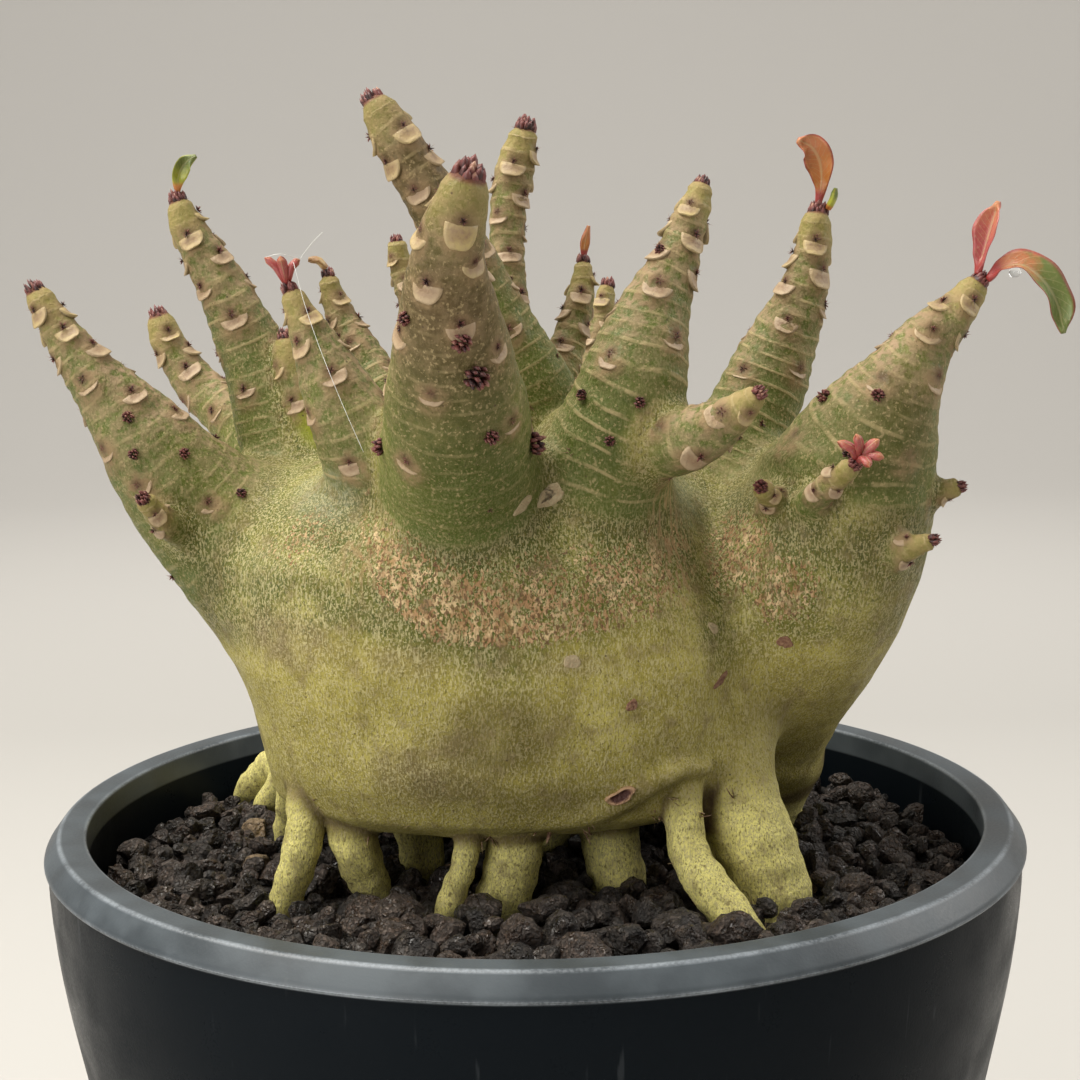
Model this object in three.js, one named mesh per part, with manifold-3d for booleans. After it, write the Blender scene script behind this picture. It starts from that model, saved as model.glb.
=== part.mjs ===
// A potted desert rose: a squat swollen caudex with a crown of stubby branches, standing on
// its roots in dark gravel, in a round plastic pot. Millimetres, +Z up, origin on the pot's
// axis at its base. The camera side of the plant faces -Y.
import * as THREE from 'three';
import { mergeVertices } from 'three/addons/utils/BufferGeometryUtils.js';
import Module from 'manifold-3d';

const wasm = await Module();
wasm.setup();

// ---------------------------------------------------------------- driving dimensions
const BAND_RADIUS = 90.6;         // outside of the rim band, on a nominal 180 mm pot
const POT_RADIUS = 89.9;          // upright top of the wall, under the band
const POT_HEIGHT = 130;
const POT_BASE_RADIUS = 67.6;
const TAPER_TOP = [86.3, 94];     // radius and height where the straight taper starts to curve
const TAPER_MEET = 112;           // height where the taper would reach the upright wall
const RIM_TOP_OUTER = 87.9;       // outer edge of the flat top of the rim
const RIM_TOP_INNER = 82.8;
const RIM_BAND_DROP = 4.4;        // height of the rim's flared band
const INNER_SHOULDER = [82.2, 112];
const INNER_FLOOR_RADIUS = 63.9;
const POT_FLOOR = 6;
const POT_SIDES = 56;
const DRAIN_COUNT = 6;
const DRAIN_RADIUS = 4;
const DRAIN_RING = 42;

const CLEARANCE = 0.3;            // gap that neighbouring pieces keep
const SOIL_LEVEL = 118.4;         // top of the packed bed, under the loose lumps
const LUMP_RADII = [5.2, 8];
const LUMP_TRIES = 2000;
const LUMP_SINK = 0.22;           // share of its radius by which a lump's centre is sunk

const LUMP_SIZE_BIAS = 1.6;       // above 1, small lumps are the common ones
const LUMP_SPACING = 0.66;        // least distance of two lumps, in the sum of their radii
const LUMP_ROUGHNESS = [0.85, 1.2];
const LUMP_FLATNESS = 0.9;
const LUMP_TILT = 0.7;            // radians either way
const LUMP_FIELD = 80;            // radius of the disc that the lumps' centres are drawn in
const LUMP_WALL_GAP = 1.6;
const GRAVEL_DRAW = 20817;        // seed of the lumps' places and shapes

const TIP_RINGS = [[0.72, 0.4], [0.25, 0.8]];   // width and height of a round tip's rings, in its radii
const RING_RIDGE = 0.045;         // how far a growth ring stands out, as a share of the radius
const RING_GROOVE = 0.03;
const SCAR_HEIGHT = 0.22;         // the same for a leaf scar
const SCAR_SHARPNESS = 6;
const SCARS_FROM = [0.25, 0.6];   // shares of a branch between which its scars grow to full height
const ROOT_WAVE = 0.04;
const BODY_WAVE = 0.012;          // shallow folds of the caudex, as a share of its half widths
const BODY_WAVE_COUNT = 5;
const BODY_WAVE_PITCH = 11;
const BLADE_THICKNESS = 0.8;
const GOLDEN_ANGLE = Math.PI * (3 - Math.sqrt(5));

// ---------------------------------------------------------------- the plant's skeleton
// Each shoot is a list of [x, y, z, radius] from inside the caudex to the tip.
const BRANCHES = {
  far_left: [[-28, -2, 168, 15], [-47, -4, 176, 14.3], [-59, -8, 187.5, 12], [-68, -11, 200, 8.7],
    [-76, -12, 211, 5.3], [-82, -12, 219.5, 3.5], [-86, -12, 226.5, 2.6]],
  left_tall: [[-36, 2, 182, 10], [-45.8, 6, 197, 7.9], [-50.6, 8, 212.7, 6.5], [-55.7, 8, 225, 5.2],
    [-62.2, 8, 237.4, 3.5], [-64, 8, 242, 2.6]],
  back_left: [[-42, 24, 182, 9], [-56, 34, 197, 6], [-65.9, 40, 205.3, 4.7],
    [-72.6, 42, 213.8, 3.6], [-74.7, 42, 219.5, 2.8]],
  front_left: [[-20, -10, 178, 11], [-25.4, -20, 192.3, 8.6], [-29.9, -25, 203.4, 7.4],
    [-33.5, -26, 212, 5.6], [-37.8, -26, 221.9, 3.1], [-39.8, -26, 226.4, 2.2]],
  lime_shoot: [[-37, 2, 187, 5], [-39.3, 2, 195.3, 4.6], [-41, 2, 202, 3.9], [-43, 2, 210.5, 3.3],
    [-44.4, 2, 217, 2.2]],
  back_crown: [[-18, 10, 190, 7], [-26.6, 15, 204.2, 5.2], [-32.5, 20, 214, 4.1],
    [-36.7, 22, 222.5, 2.7], [-38.2, 22, 228, 2]],
  front_main: [[-11, -10, 178, 14], [-11.6, -27, 191.5, 13.2], [-12, -41, 206.5, 12],
    [-12.1, -52, 221, 8.8], [-12.1, -60, 231.5, 5.9], [-10.6, -64, 237.6, 4.8], [-9, -66, 243, 3.8]],
  tallest: [[2, -2, 188, 9], [2.8, -6, 204.7, 7.2], [-5, -9, 221.4, 5.4], [-14, -12, 238, 4.9],
    [-22.1, -14, 252.2, 4.2], [-25.5, -14, 258, 3]],
  top_back: [[0, 2, 190, 7], [-1.2, 6, 205.5, 4.9], [-3, 12, 220.2, 3.6], [-3.8, 16, 236, 3.3],
    [-2.3, 18, 247.2, 3.8], [-0.4, 18, 254.6, 3]],
  small_back: [[-14, 22, 194, 6], [-20.6, 32, 214.7, 3.3], [-24.8, 36, 228.4, 2.5],
    [-25.9, 36, 234.2, 1.9]],
  short_back: [[0, 6, 190, 7], [3.9, 12, 203, 4.6], [7, 18, 213, 3.5], [10.1, 21, 223.5, 3],
    [10.7, 22, 230, 2]],
  far_back: [[4, 28, 186, 8], [11.4, 41, 204.5, 4], [14.8, 46, 216.4, 2.9], [16.3, 48, 224.5, 2.3]],
  right_cone: [[8, -12, 178, 13], [12.1, -22, 193.8, 11.6], [17.2, -26, 208.8, 9.5],
    [20.4, -25, 219.7, 7.1], [24.6, -23, 229.7, 4.6], [28.1, -21, 238.5, 3.2],
    [29.7, -20, 243.2, 2.2]],
  side_shoot: [[8, -20, 199, 7], [18.8, -27, 201, 6.3], [25.2, -33, 201.3, 5.6],
    [30.2, -37, 203.8, 4.4], [34.5, -40, 207.3, 2.8], [36.8, -42, 209.5, 1.9]],
  right_tall: [[28, 2, 178, 12], [37.7, 8, 193.5, 9.4], [45.3, 12, 209, 7.8],
    [50.3, 12, 220.8, 5.5], [53.3, 12, 231.3, 3.7], [54.3, 12, 238, 2.9]],
  far_right: [[46, -2, 166, 17], [54.2, -8, 180.5, 16.2], [58.2, -15, 196, 13.2],
    [63, -18, 206, 8.8], [68.7, -18, 216, 5.2], [73.6, -18, 221.1, 3.8], [77.4, -18, 225.8, 2.6]],
};
const BRANCH_SIDES = 9;
const BRANCH_STEPS = 13;

// Short side shoots low on the branches, most of them cut or resting.
const STUBS = {
  far_left: [[-60, -16, 184, 3.6], [-63.7, -22, 187.5, 2.6], [-66, -26, 191.5, 2]],
  far_right_inner: [[46, -12, 185, 3.4], [41.6, -24, 190.2, 2.3], [39.4, -29.5, 192.8, 1.9]],
  far_right_front: [[49, -18, 187, 3.4], [48, -27, 190, 2.6], [50.8, -32, 193.8, 2.3],
    [53.5, -36, 197, 1.9]],
  far_right_outer: [[60, -14, 186, 3.2], [68.6, -16, 188.3, 2.3], [72.2, -17, 190.1, 2.1],
    [74.8, -18, 191, 1.7]],
  far_right_low: [[57, -14, 176, 3.6], [62, -23, 179.5, 2.7], [65, -27, 181.7, 2.4],
    [68, -29, 183.2, 1.7]],
};
const STUB_SIDES = 7;
const STUB_STEPS = 4;

// Resting buds on the branches: [x, y, z, radius].
const BUDS = [
  [-8.2, -59.5, 215, 2.6], [-10.2, -62, 222.5, 1.9], [0.3, -41, 202.4, 2.4], [-23.4, -43, 203, 1.7],
  [-6.5, -52.3, 205.5, 1.5], [-19, -56, 222, 1.4], [51, -22, 204, 1.5], [-71, -16, 199, 1.4],
  [24, -31, 215, 1.3], [47, 4.6, 211, 1.4], [-53, 2.2, 211, 1.4], [-59, -20, 193, 1.5],
];

// Roots leave the underside of the caudex and stand in plain holes in the gravel.
const ROOTS = {
  back_left_outer: [[-38, 24, 144, 6.5], [-51, 32, 131, 3.9], [-56.5, 40, 125.5, 3.4],
    [-61.5, 45, 118.5, 2.9], [-62.5, 46, 109, 2.3]],
  back_left: [[-42, 20, 139, 4.8], [-50.8, 28, 127.4, 2.9], [-56.2, 33, 119, 2.6],
    [-58, 35, 109, 2]],
  left_thin: [[-44, 6, 141, 4], [-47.7, 8, 130.6, 2.3], [-49.2, 11, 118.8, 2.1],
    [-49.6, 12, 109, 1.8]],
  front_far_left: [[-38, -17, 147, 5], [-40.3, -22, 139, 3.7], [-41.2, -25, 130, 3.5],
    [-44.6, -26, 119.3, 3], [-46, -26, 106, 2.4]],
  front_left: [[-30.5, -16, 146, 6], [-32.9, -22, 137.5, 4.1], [-32.1, -24, 129.4, 4.3],
    [-29, -21, 118.2, 3.3], [-28, -20, 104, 2.6]],
  inner_left: [[-24, -1, 139, 7], [-22.5, -4, 129, 5], [-20.8, -6, 118, 3.9], [-20.5, -7, 104, 3]],
  front_thin: [[-10.8, -25, 143, 3.4], [-11.4, -30, 135, 2.4], [-12.3, -32, 129, 2.2],
    [-15.5, -32, 119.6, 2.4], [-17, -32, 108, 2]],
  front_middle: [[-3, -20, 143, 6.4], [-3.2, -27, 133.6, 4.9], [-4.2, -28, 126.6, 4.8],
    [-6.5, -28, 117.5, 4.6], [-7, -28, 102, 3.6]],
  inner_right: [[12, -9, 139, 7], [13.2, -14, 129.4, 5.6], [15.2, -16, 117.7, 5.2],
    [16, -17, 102, 4.2]],
  front_right_thin: [[24, -25, 148, 5], [25.5, -30, 139.4, 3.5], [26.3, -33, 130.8, 3.5],
    [30, -37, 124.4, 3.8], [35.5, -41, 118, 3.6], [39, -44, 109, 2.8]],
  front_right: [[34.5, -14, 149, 9], [36.5, -21, 139, 6.8], [38.3, -24, 129.6, 7.4],
    [42.2, -26.5, 118.2, 6.9], [44, -28, 102, 5.4]],
  right_rear: [[44, 17, 136, 13], [43, 21, 124, 10.6], [43.5, 23, 114, 9], [44, 24, 101, 7]],
  tap: [[-4, 3, 142, 16], [-3, 5, 130, 11.5], [-3, 6, 118, 9], [-2, 6, 103, 7]],
  rear_left: [[-22, 22, 142, 8], [-26, 31, 130, 5.3], [-30, 37, 118, 4], [-31, 39, 105, 3.1]],
  rear_middle: [[-2, 25, 142, 9], [-4, 33, 130, 5.8], [-5, 39, 118, 4.7], [-5, 41, 104, 3.6]],
  rear_right: [[19, 24, 142, 9], [22, 33, 130, 5.7], [24, 39, 118, 4.8], [25, 41, 104, 3.7]],
};
const ROOT_SIDES = 8;
const ROOT_STEPS = 5;

// Level sections of the caudex: [z, centre x, centre y, half width, half depth].
const MAIN_BODY = [
  [130.5, -5, 3, 27, 22], [132, -5, 2, 38, 31], [136, -5, 1, 43.5, 38], [143, -5, 0, 45, 40.5],
  [152, -5.3, 0, 46.5, 41.5], [161, -7, 0, 48.5, 42], [170, -9.5, 0, 48.8, 41.5], [180, -12, 0, 46, 40],
  [188, -11, 1, 42, 36], [194, -9, 2, 36, 30], [199, -6, 4, 25, 22], [202, -3, 5, 12, 10],
];
const RIGHT_LOBE = [
  [126, 42.5, 21, 8, 9], [130, 42.6, 19.5, 12.5, 14], [137, 43.3, 16, 14, 18], [144, 44.2, 12, 15, 21],
  [152, 46, 8, 16.2, 24], [161, 48, 4, 17.6, 26], [171, 49.5, 0, 18.4, 26.5], [180, 51.5, -3, 17.8, 24],
  [188, 53.5, -6, 14, 18], [193, 55, -8, 7, 9],
];
const BODY_SIDES = 28;
const BODY_SQUARENESS = 2.3;      // superellipse exponent; 2 is a plain ellipse

// Leaves: midrib points from the seat to the tip, half widths at them, and the way they face.
const LEAVES = {
  leaf_left_tall: { color: 0xa8b83a, face: [0.5, -1, 0.3],
    rib: [[-64.3, 8, 244.6], [-64.1, 8, 247.4], [-62.8, 8, 249.8], [-60.6, 8, 251.2]],
    half: [0.5, 1.5, 1.6, 0.4] },
  leaf_short_back: { color: 0xc9763a, face: [0, -1, 0],
    rib: [[10.9, 22.1, 232.1], [11.2, 22, 234.6], [11.9, 22, 237.6]], half: [0.7, 1.1, 0.4] },
  leaf_back_crown_dry: { color: 0xb78a5c, face: [0.2, -0.4, 1],
    rib: [[-38.8, 22, 230.2], [-40.2, 21.4, 231.6], [-42, 21, 231.9]], half: [0.9, 1.1, 0.5] },
  leaf_right_tall_long: { color: 0xd8763f, face: [-0.3, -1, 0.2],
    rib: [[54.5, 12, 240.9], [55, 11.2, 244.4], [54.6, 10.2, 248.4], [52.9, 9.4, 251.3], [50.2, 9, 252.6]],
    half: [0.6, 1.3, 2.7, 2.6, 0.6] },
  leaf_right_tall_short: { color: 0x9db04a, face: [1, -0.6, 0.2],
    rib: [[56.3, 11.3, 240], [57.1, 10.5, 241.9], [57.5, 10, 243.8]], half: [0.6, 1, 0.4] },
  leaf_far_right_upright: { color: 0xc9505c, face: [-0.9, -1, 0.4],
    rib: [[77.9, -18.1, 228.2], [78.8, -18.3, 231.8], [80.1, -18.2, 236.3], [81.3, -18, 240.6]],
    half: [0.7, 1.7, 2.8, 0.5] },
  leaf_far_right_arched: { color: 0x8fa04a, face: [-0.1, -0.75, 1],
    rib: [[79.5, -18.7, 227.3], [82, -19.9, 229.4], [85.3, -21.2, 229.5], [88.8, -22, 226.4],
      [91.1, -22, 222.2], [92, -22, 218]],
    half: [0.7, 1.8, 3, 3.1, 2.6, 0.5] },
};
const LEAF_CUP = 0.22;            // how far the edges of a blade are raised, in half widths
const STATIONS_PER_SPAN = 3;

// Tufts of small young leaves: blades that spread from one seat, joined at their feet.
const TUFTS = {
  tuft_front_left: { color: 0xd0707a, seat: [-40.8, -26.1, 229.2], foot: 0.9,
    tips: [[-44.2, -26.4, 232.8], [-41.4, -27.8, 233], [-38.4, -25.6, 232.4]], half: 1.1 },
  tuft_far_right_stub: { color: 0xd98476, seat: [54.6, -37.7, 199], foot: 1.1,
    tips: [[50.7, -38.6, 201.6], [53.6, -39.6, 202.9], [57.6, -38.8, 201.9], [58.3, -39.4, 198.9],
      [55.6, -41.2, 197.6]], half: 1.2 },
};

// ---------------------------------------------------------------- helpers
function vector(point) {
  return new THREE.Vector3(point[0], point[1], point[2]);
}

// A closed skin over rings of points that all have the same count, capped at both ends.
function loft(rings) {
  const sides = rings[0].length;
  const points = rings.flat();
  const faces = [];
  for (let ring = 0; ring < rings.length - 1; ring += 1) {
    for (let side = 0; side < sides; side += 1) {
      const next = (side + 1) % sides;
      const a = ring * sides + side;
      const b = ring * sides + next;
      faces.push(a, b, b + sides, a, b + sides, a + sides);
    }
  }
  const middleOf = (ring) => ring.reduce((sum, p) => sum.add(p), new THREE.Vector3()).divideScalar(sides);
  const firstCap = points.push(middleOf(rings[0])) - 1;
  const lastCap = points.push(middleOf(rings[rings.length - 1])) - 1;
  const lastStart = (rings.length - 1) * sides;
  for (let side = 0; side < sides; side += 1) {
    const next = (side + 1) % sides;
    faces.push(firstCap, next, side);
    faces.push(lastCap, lastStart + side, lastStart + next);
  }
  const geometry = new THREE.BufferGeometry().setFromPoints(points);
  geometry.setIndex(faces);
  return geometry;
}

function toSolid(geometry) {
  const bare = geometry.clone();
  bare.deleteAttribute('normal');
  bare.deleteAttribute('uv');
  const merged = mergeVertices(bare, 1e-4);
  const mesh = new wasm.Mesh({
    numProp: 3,
    vertProperties: new Float32Array(merged.attributes.position.array),
    triVerts: new Uint32Array(merged.index.array),
  });
  return new wasm.Manifold(mesh);
}

function toGeometry(solid) {
  const mesh = solid.getMesh();
  const geometry = new THREE.BufferGeometry();
  geometry.setAttribute('position', new THREE.BufferAttribute(new Float32Array(mesh.vertProperties), 3));
  geometry.setIndex(new THREE.BufferAttribute(new Uint32Array(mesh.triVerts), 1));
  geometry.computeVertexNormals();
  return geometry;
}

function join(solids) {
  return solids.reduce((whole, solid) => whole.add(solid));
}

// The largest shell alone: pockets sealed in between fused lumps are filled.
function outerShell(solid) {
  const shells = solid.decompose();
  return shells.reduce((best, shell) => (shell.volume() > best.volume() ? shell : best));
}

// Rings of points around a path of [x, y, z, radius], carried along it without twist.
function ringsAlong(path, sides, steps, relief) {
  const route = new THREE.CatmullRomCurve3(path.map(vector), false, 'catmullrom', 0.5);
  const radii = new THREE.CatmullRomCurve3(path.map((p) => new THREE.Vector3(p[3], 0, 0)), false,
    'catmullrom', 0.5);
  const tangent = route.getTangent(0);
  const across = Math.abs(tangent.x) < 0.9 ? new THREE.Vector3(1, 0, 0) : new THREE.Vector3(0, 1, 0);
  const rings = [];
  for (let step = 0; step <= steps; step += 1) {
    const share = step / steps;
    const centre = route.getPoint(share);
    const along = route.getTangent(share);
    across.addScaledVector(along, -across.dot(along)).normalize();
    const upward = new THREE.Vector3().crossVectors(along, across);
    const radius = radii.getPoint(share).x;
    const ring = [];
    for (let side = 0; side < sides; side += 1) {
      const angle = (2 * Math.PI * side) / sides;
      const reach = radius * relief(share, step, angle);
      ring.push(centre.clone()
        .addScaledVector(across, reach * Math.cos(angle))
        .addScaledVector(upward, reach * Math.sin(angle)));
    }
    rings.push(ring);
  }
  return rings;
}

// Closes a shoot with a round tip: one narrower ring, then a cap a little beyond it.
function withRoundTip(rings, path) {
  const last = rings[rings.length - 1];
  const tip = path[path.length - 1];
  const centre = vector(tip);
  const along = centre.clone().sub(vector(path[path.length - 2])).normalize();
  const shrink = (share, lift) => last.map((p) => centre.clone()
    .addScaledVector(p.clone().sub(centre), share)
    .addScaledVector(along, lift * tip[3]));
  return [...rings, ...TIP_RINGS.map(([share, lift]) => shrink(share, lift))];
}

// ---------------------------------------------------------------- the pot
function potProfile() {
  const bandFoot = POT_HEIGHT - RIM_BAND_DROP;
  const shoulder = new THREE.QuadraticBezierCurve(
    new THREE.Vector2(...TAPER_TOP),
    new THREE.Vector2(POT_RADIUS, TAPER_MEET),
    new THREE.Vector2(POT_RADIUS, bandFoot - 0.4),
  );
  const points = (list) => list.map(([r, z]) => new THREE.Vector2(r, z));
  return [
    ...points([[0, 0], [POT_BASE_RADIUS - 1.2, 0], [POT_BASE_RADIUS + 0.3, 1.5]]),
    ...shoulder.getPoints(4),
    ...points([
      [BAND_RADIUS - 0.2, bandFoot], [BAND_RADIUS, bandFoot + 0.5], [RIM_TOP_OUTER, POT_HEIGHT],
      [RIM_TOP_INNER + 0.6, POT_HEIGHT], [RIM_TOP_INNER, POT_HEIGHT - 0.6], INNER_SHOULDER,
      [INNER_FLOOR_RADIUS, POT_FLOOR], [0, POT_FLOOR],
    ]),
  ];
}

function revolve(profile, sides) {
  const geometry = new THREE.LatheGeometry(profile, sides);
  geometry.rotateX(Math.PI / 2);
  return geometry;
}

function potSolid() {
  const shell = toSolid(revolve(potProfile(), POT_SIDES));
  const drains = [];
  for (let hole = 0; hole < DRAIN_COUNT; hole += 1) {
    const angle = (2 * Math.PI * hole) / DRAIN_COUNT;
    const bore = new THREE.CylinderGeometry(DRAIN_RADIUS, DRAIN_RADIUS, POT_FLOOR * 3, 16);
    bore.rotateX(Math.PI / 2);
    bore.translate(DRAIN_RING * Math.cos(angle), DRAIN_RING * Math.sin(angle), 0);
    drains.push(toSolid(bore));
  }
  return shell.subtract(join(drains));
}

// ---------------------------------------------------------------- the plant
// Growth rings all along, and on the outer part one raised leaf scar a ring, in a spiral.
function branchRelief(share, step, angle) {
  const ridge = step % 2 === 0 ? RING_RIDGE : -RING_GROOVE;
  const outer = THREE.MathUtils.smoothstep(share, ...SCARS_FROM);
  const scarAngle = step * GOLDEN_ANGLE;
  const facing = Math.max(0, Math.cos(angle - scarAngle));
  return 1 + ridge * Math.min(1, share * 3) + SCAR_HEIGHT * outer * facing ** SCAR_SHARPNESS;
}

function rootRelief(share, step, angle) {
  return 1 + ROOT_WAVE * Math.sin(3 * angle + 5 * share);
}

function bodySection([z, cx, cy, halfWidth, halfDepth]) {
  const ring = [];
  for (let side = 0; side < BODY_SIDES; side += 1) {
    const angle = (2 * Math.PI * side) / BODY_SIDES;
    const cos = Math.cos(angle);
    const sin = Math.sin(angle);
    const bulk = Math.abs(cos) ** BODY_SQUARENESS + Math.abs(sin) ** BODY_SQUARENESS;
    const wave = 1 + BODY_WAVE * Math.sin(BODY_WAVE_COUNT * angle + z / BODY_WAVE_PITCH);
    const reach = wave * bulk ** (-1 / BODY_SQUARENESS);
    ring.push(new THREE.Vector3(cx + halfWidth * cos * reach, cy + halfDepth * sin * reach, z));
  }
  return ring;
}

function shoot(path, sides, steps) {
  return toSolid(loft(withRoundTip(ringsAlong(path, sides, steps, branchRelief), path)));
}

function bud([x, y, z, radius]) {
  const ball = new THREE.IcosahedronGeometry(radius, 0);
  ball.translate(x, y, z);
  return toSolid(ball);
}

function root(path) {
  return toSolid(loft(ringsAlong(path, ROOT_SIDES, ROOT_STEPS, rootRelief)));
}

function plantSolid() {
  const parts = [toSolid(loft(MAIN_BODY.map(bodySection))), toSolid(loft(RIGHT_LOBE.map(bodySection)))];
  parts.push(...Object.values(BRANCHES).map((path) => shoot(path, BRANCH_SIDES, BRANCH_STEPS)));
  parts.push(...Object.values(STUBS).map((path) => shoot(path, STUB_SIDES, STUB_STEPS)));
  parts.push(...BUDS.map(bud));
  parts.push(...Object.values(ROOTS).map(root));
  return outerShell(join(parts));
}

// ---------------------------------------------------------------- the gravel
// A repeatable stream of numbers from 0 to 1.
function seededDraw(seed) {
  let state = seed;
  return () => {
    state = (Math.imul(state, 1664525) + 1013904223) >>> 0;
    return state / 4294967296;
  };
}

// Where every root stands: a hole that follows the root with clearance, and runs below its end.
function rootHole(path) {
  const wide = path.map(([x, y, z, radius]) => [x, y, z, radius + CLEARANCE + 0.15]);
  const rings = ringsAlong(wide, ROOT_SIDES, ROOT_STEPS, rootRelief);
  const last = rings[rings.length - 1];
  rings.push(last.map((p) => p.clone().add(new THREE.Vector3(0, 0, -2 * CLEARANCE))));
  return toSolid(loft(rings));
}

// The point where a root passes through the soil's level, with its radius there.
function rootFoot(path) {
  const index = path.findIndex((p) => p[2] < SOIL_LEVEL + 2);
  return path[index];
}

function lumpGeometry(draw, x, y, radius) {
  const lump = new THREE.OctahedronGeometry(radius, 0);
  const bare = lump.clone();
  bare.deleteAttribute('normal');
  bare.deleteAttribute('uv');
  const merged = mergeVertices(bare, 1e-4);
  const place = merged.attributes.position;
  for (let index = 0; index < place.count; index += 1) {
    const [least, most] = LUMP_ROUGHNESS;
    const corner = new THREE.Vector3().fromBufferAttribute(place, index);
    corner.multiplyScalar(least + (most - least) * draw());
    place.setXYZ(index, corner.x, corner.y, corner.z * LUMP_FLATNESS);
  }
  merged.rotateX((2 * draw() - 1) * LUMP_TILT);
  merged.rotateY((2 * draw() - 1) * LUMP_TILT);
  merged.rotateZ(draw() * 2 * Math.PI);
  merged.translate(x, y, SOIL_LEVEL - LUMP_SINK * radius);
  return merged;
}

function lumpPlaces(draw) {
  const places = [];
  const feet = Object.values(ROOTS).map(rootFoot);
  for (let attempt = 0; attempt < LUMP_TRIES; attempt += 1) {
    const angle = 2 * Math.PI * draw();
    const reach = LUMP_FIELD * Math.sqrt(draw());
    const radius = LUMP_RADII[0] + (LUMP_RADII[1] - LUMP_RADII[0]) * draw() ** LUMP_SIZE_BIAS;
    const x = reach * Math.cos(angle);
    const y = reach * Math.sin(angle);
    const inPot = reach + 1.15 * radius < RIM_TOP_INNER - LUMP_WALL_GAP;
    const clearOfRoots = feet.every(
      (foot) => Math.hypot(foot[0] - x, foot[1] - y) > foot[3] + 0.9 * radius,
    );
    const apart = places.every(
      (other) => Math.hypot(other.x - x, other.y - y) > LUMP_SPACING * (other.radius + radius),
    );
    if (inPot && clearOfRoots && apart) {
      places.push({ x, y, radius });
    }
  }
  return places;
}

function gravelSolid() {
  const gap = CLEARANCE + 0.1;
  const [shoulderRadius, shoulderHeight] = INNER_SHOULDER;
  const bed = toSolid(revolve([
    [0, POT_FLOOR + CLEARANCE], [INNER_FLOOR_RADIUS - gap, POT_FLOOR + CLEARANCE],
    [shoulderRadius - gap, shoulderHeight], [shoulderRadius - gap + 0.15, SOIL_LEVEL], [0, SOIL_LEVEL],
  ].map(([r, z]) => new THREE.Vector2(r, z)), POT_SIDES));
  const draw = seededDraw(GRAVEL_DRAW);
  const lumps = lumpPlaces(draw).map(({ x, y, radius }) => toSolid(lumpGeometry(draw, x, y, radius)));
  const holes = join(Object.values(ROOTS).map(rootHole));
  return outerShell(join([bed, ...lumps]).subtract(holes));
}

// ---------------------------------------------------------------- leaves
// A thin cupped blade along its midrib: six points a station, three on each face.
function blade(rib, half, face) {
  const route = new THREE.CatmullRomCurve3(rib.map(vector), false, 'catmullrom', 0.5);
  const widthPoints = half.map((h) => new THREE.Vector3(h, 0, 0));
  const widths = new THREE.CatmullRomCurve3(widthPoints, false, 'catmullrom', 0.5);
  const stations = STATIONS_PER_SPAN * (rib.length - 1);
  const rings = [];
  for (let station = 0; station <= stations; station += 1) {
    const share = station / stations;
    const centre = route.getPoint(share);
    const along = route.getTangent(share);
    const side = new THREE.Vector3().crossVectors(along, vector(face)).normalize();
    const front = new THREE.Vector3().crossVectors(side, along).normalize();
    const reach = Math.max(0.45, widths.getPoint(share).x);
    const place = (across, lift) => centre.clone()
      .addScaledVector(side, across * reach)
      .addScaledVector(front, LEAF_CUP * reach * across ** 2 + lift);
    const thick = BLADE_THICKNESS / 2;
    rings.push([
      place(-1, 0.8 * thick), place(0, thick), place(1, 0.8 * thick),
      place(1, -0.8 * thick), place(0, -thick), place(-1, -0.8 * thick),
    ]);
  }
  return loft(rings);
}

function tuftSolid({ seat, tips, foot, half }) {
  const base = new THREE.IcosahedronGeometry(foot, 0);
  base.translate(seat[0], seat[1], seat[2]);
  const blades = tips.map((tip) => {
    const middle = seat.map((value, axis) => value + 0.55 * (tip[axis] - value));
    return toSolid(blade([seat, middle, tip], [0.6, half, 0.45], [0.2, -1, 0.5]));
  });
  return join([toSolid(base), ...blades]);
}

// ---------------------------------------------------------------- assembly
function piece(name, geometry, color, roughness) {
  const material = new THREE.MeshStandardMaterial({ color, roughness, metalness: 0 });
  const mesh = new THREE.Mesh(geometry, material);
  mesh.name = name;
  return mesh;
}

const pottedPlant = new THREE.Group();
pottedPlant.add(piece('pot', toGeometry(potSolid()), 0x23282d, 0.45));
pottedPlant.add(piece('gravel', toGeometry(gravelSolid()), 0x241c1b, 0.85));
pottedPlant.add(piece('caudex', toGeometry(plantSolid()), 0x8f9a45, 0.6));
Object.entries(LEAVES).forEach(([name, leaf]) => {
  pottedPlant.add(piece(name, toGeometry(toSolid(blade(leaf.rib, leaf.half, leaf.face))), leaf.color, 0.5));
});
Object.entries(TUFTS).forEach(([name, tuft]) => {
  pottedPlant.add(piece(name, toGeometry(tuftSolid(tuft)), tuft.color, 0.5));
});

export default pottedPlant;
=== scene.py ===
# A potted desert rose: a squat caudex with a crown of ringed, stubby branches and a few young
# leaves, on a skirt of thick roots in black grit, in a round plastic pot. Metres, +Z up, the
# frame's origin under the middle of the pot. Lengths written in millimetres are scaled by MM.
import math

import bmesh
import bpy
import numpy as np
from mathutils import Matrix, Vector
from mathutils.bvhtree import BVHTree


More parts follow.
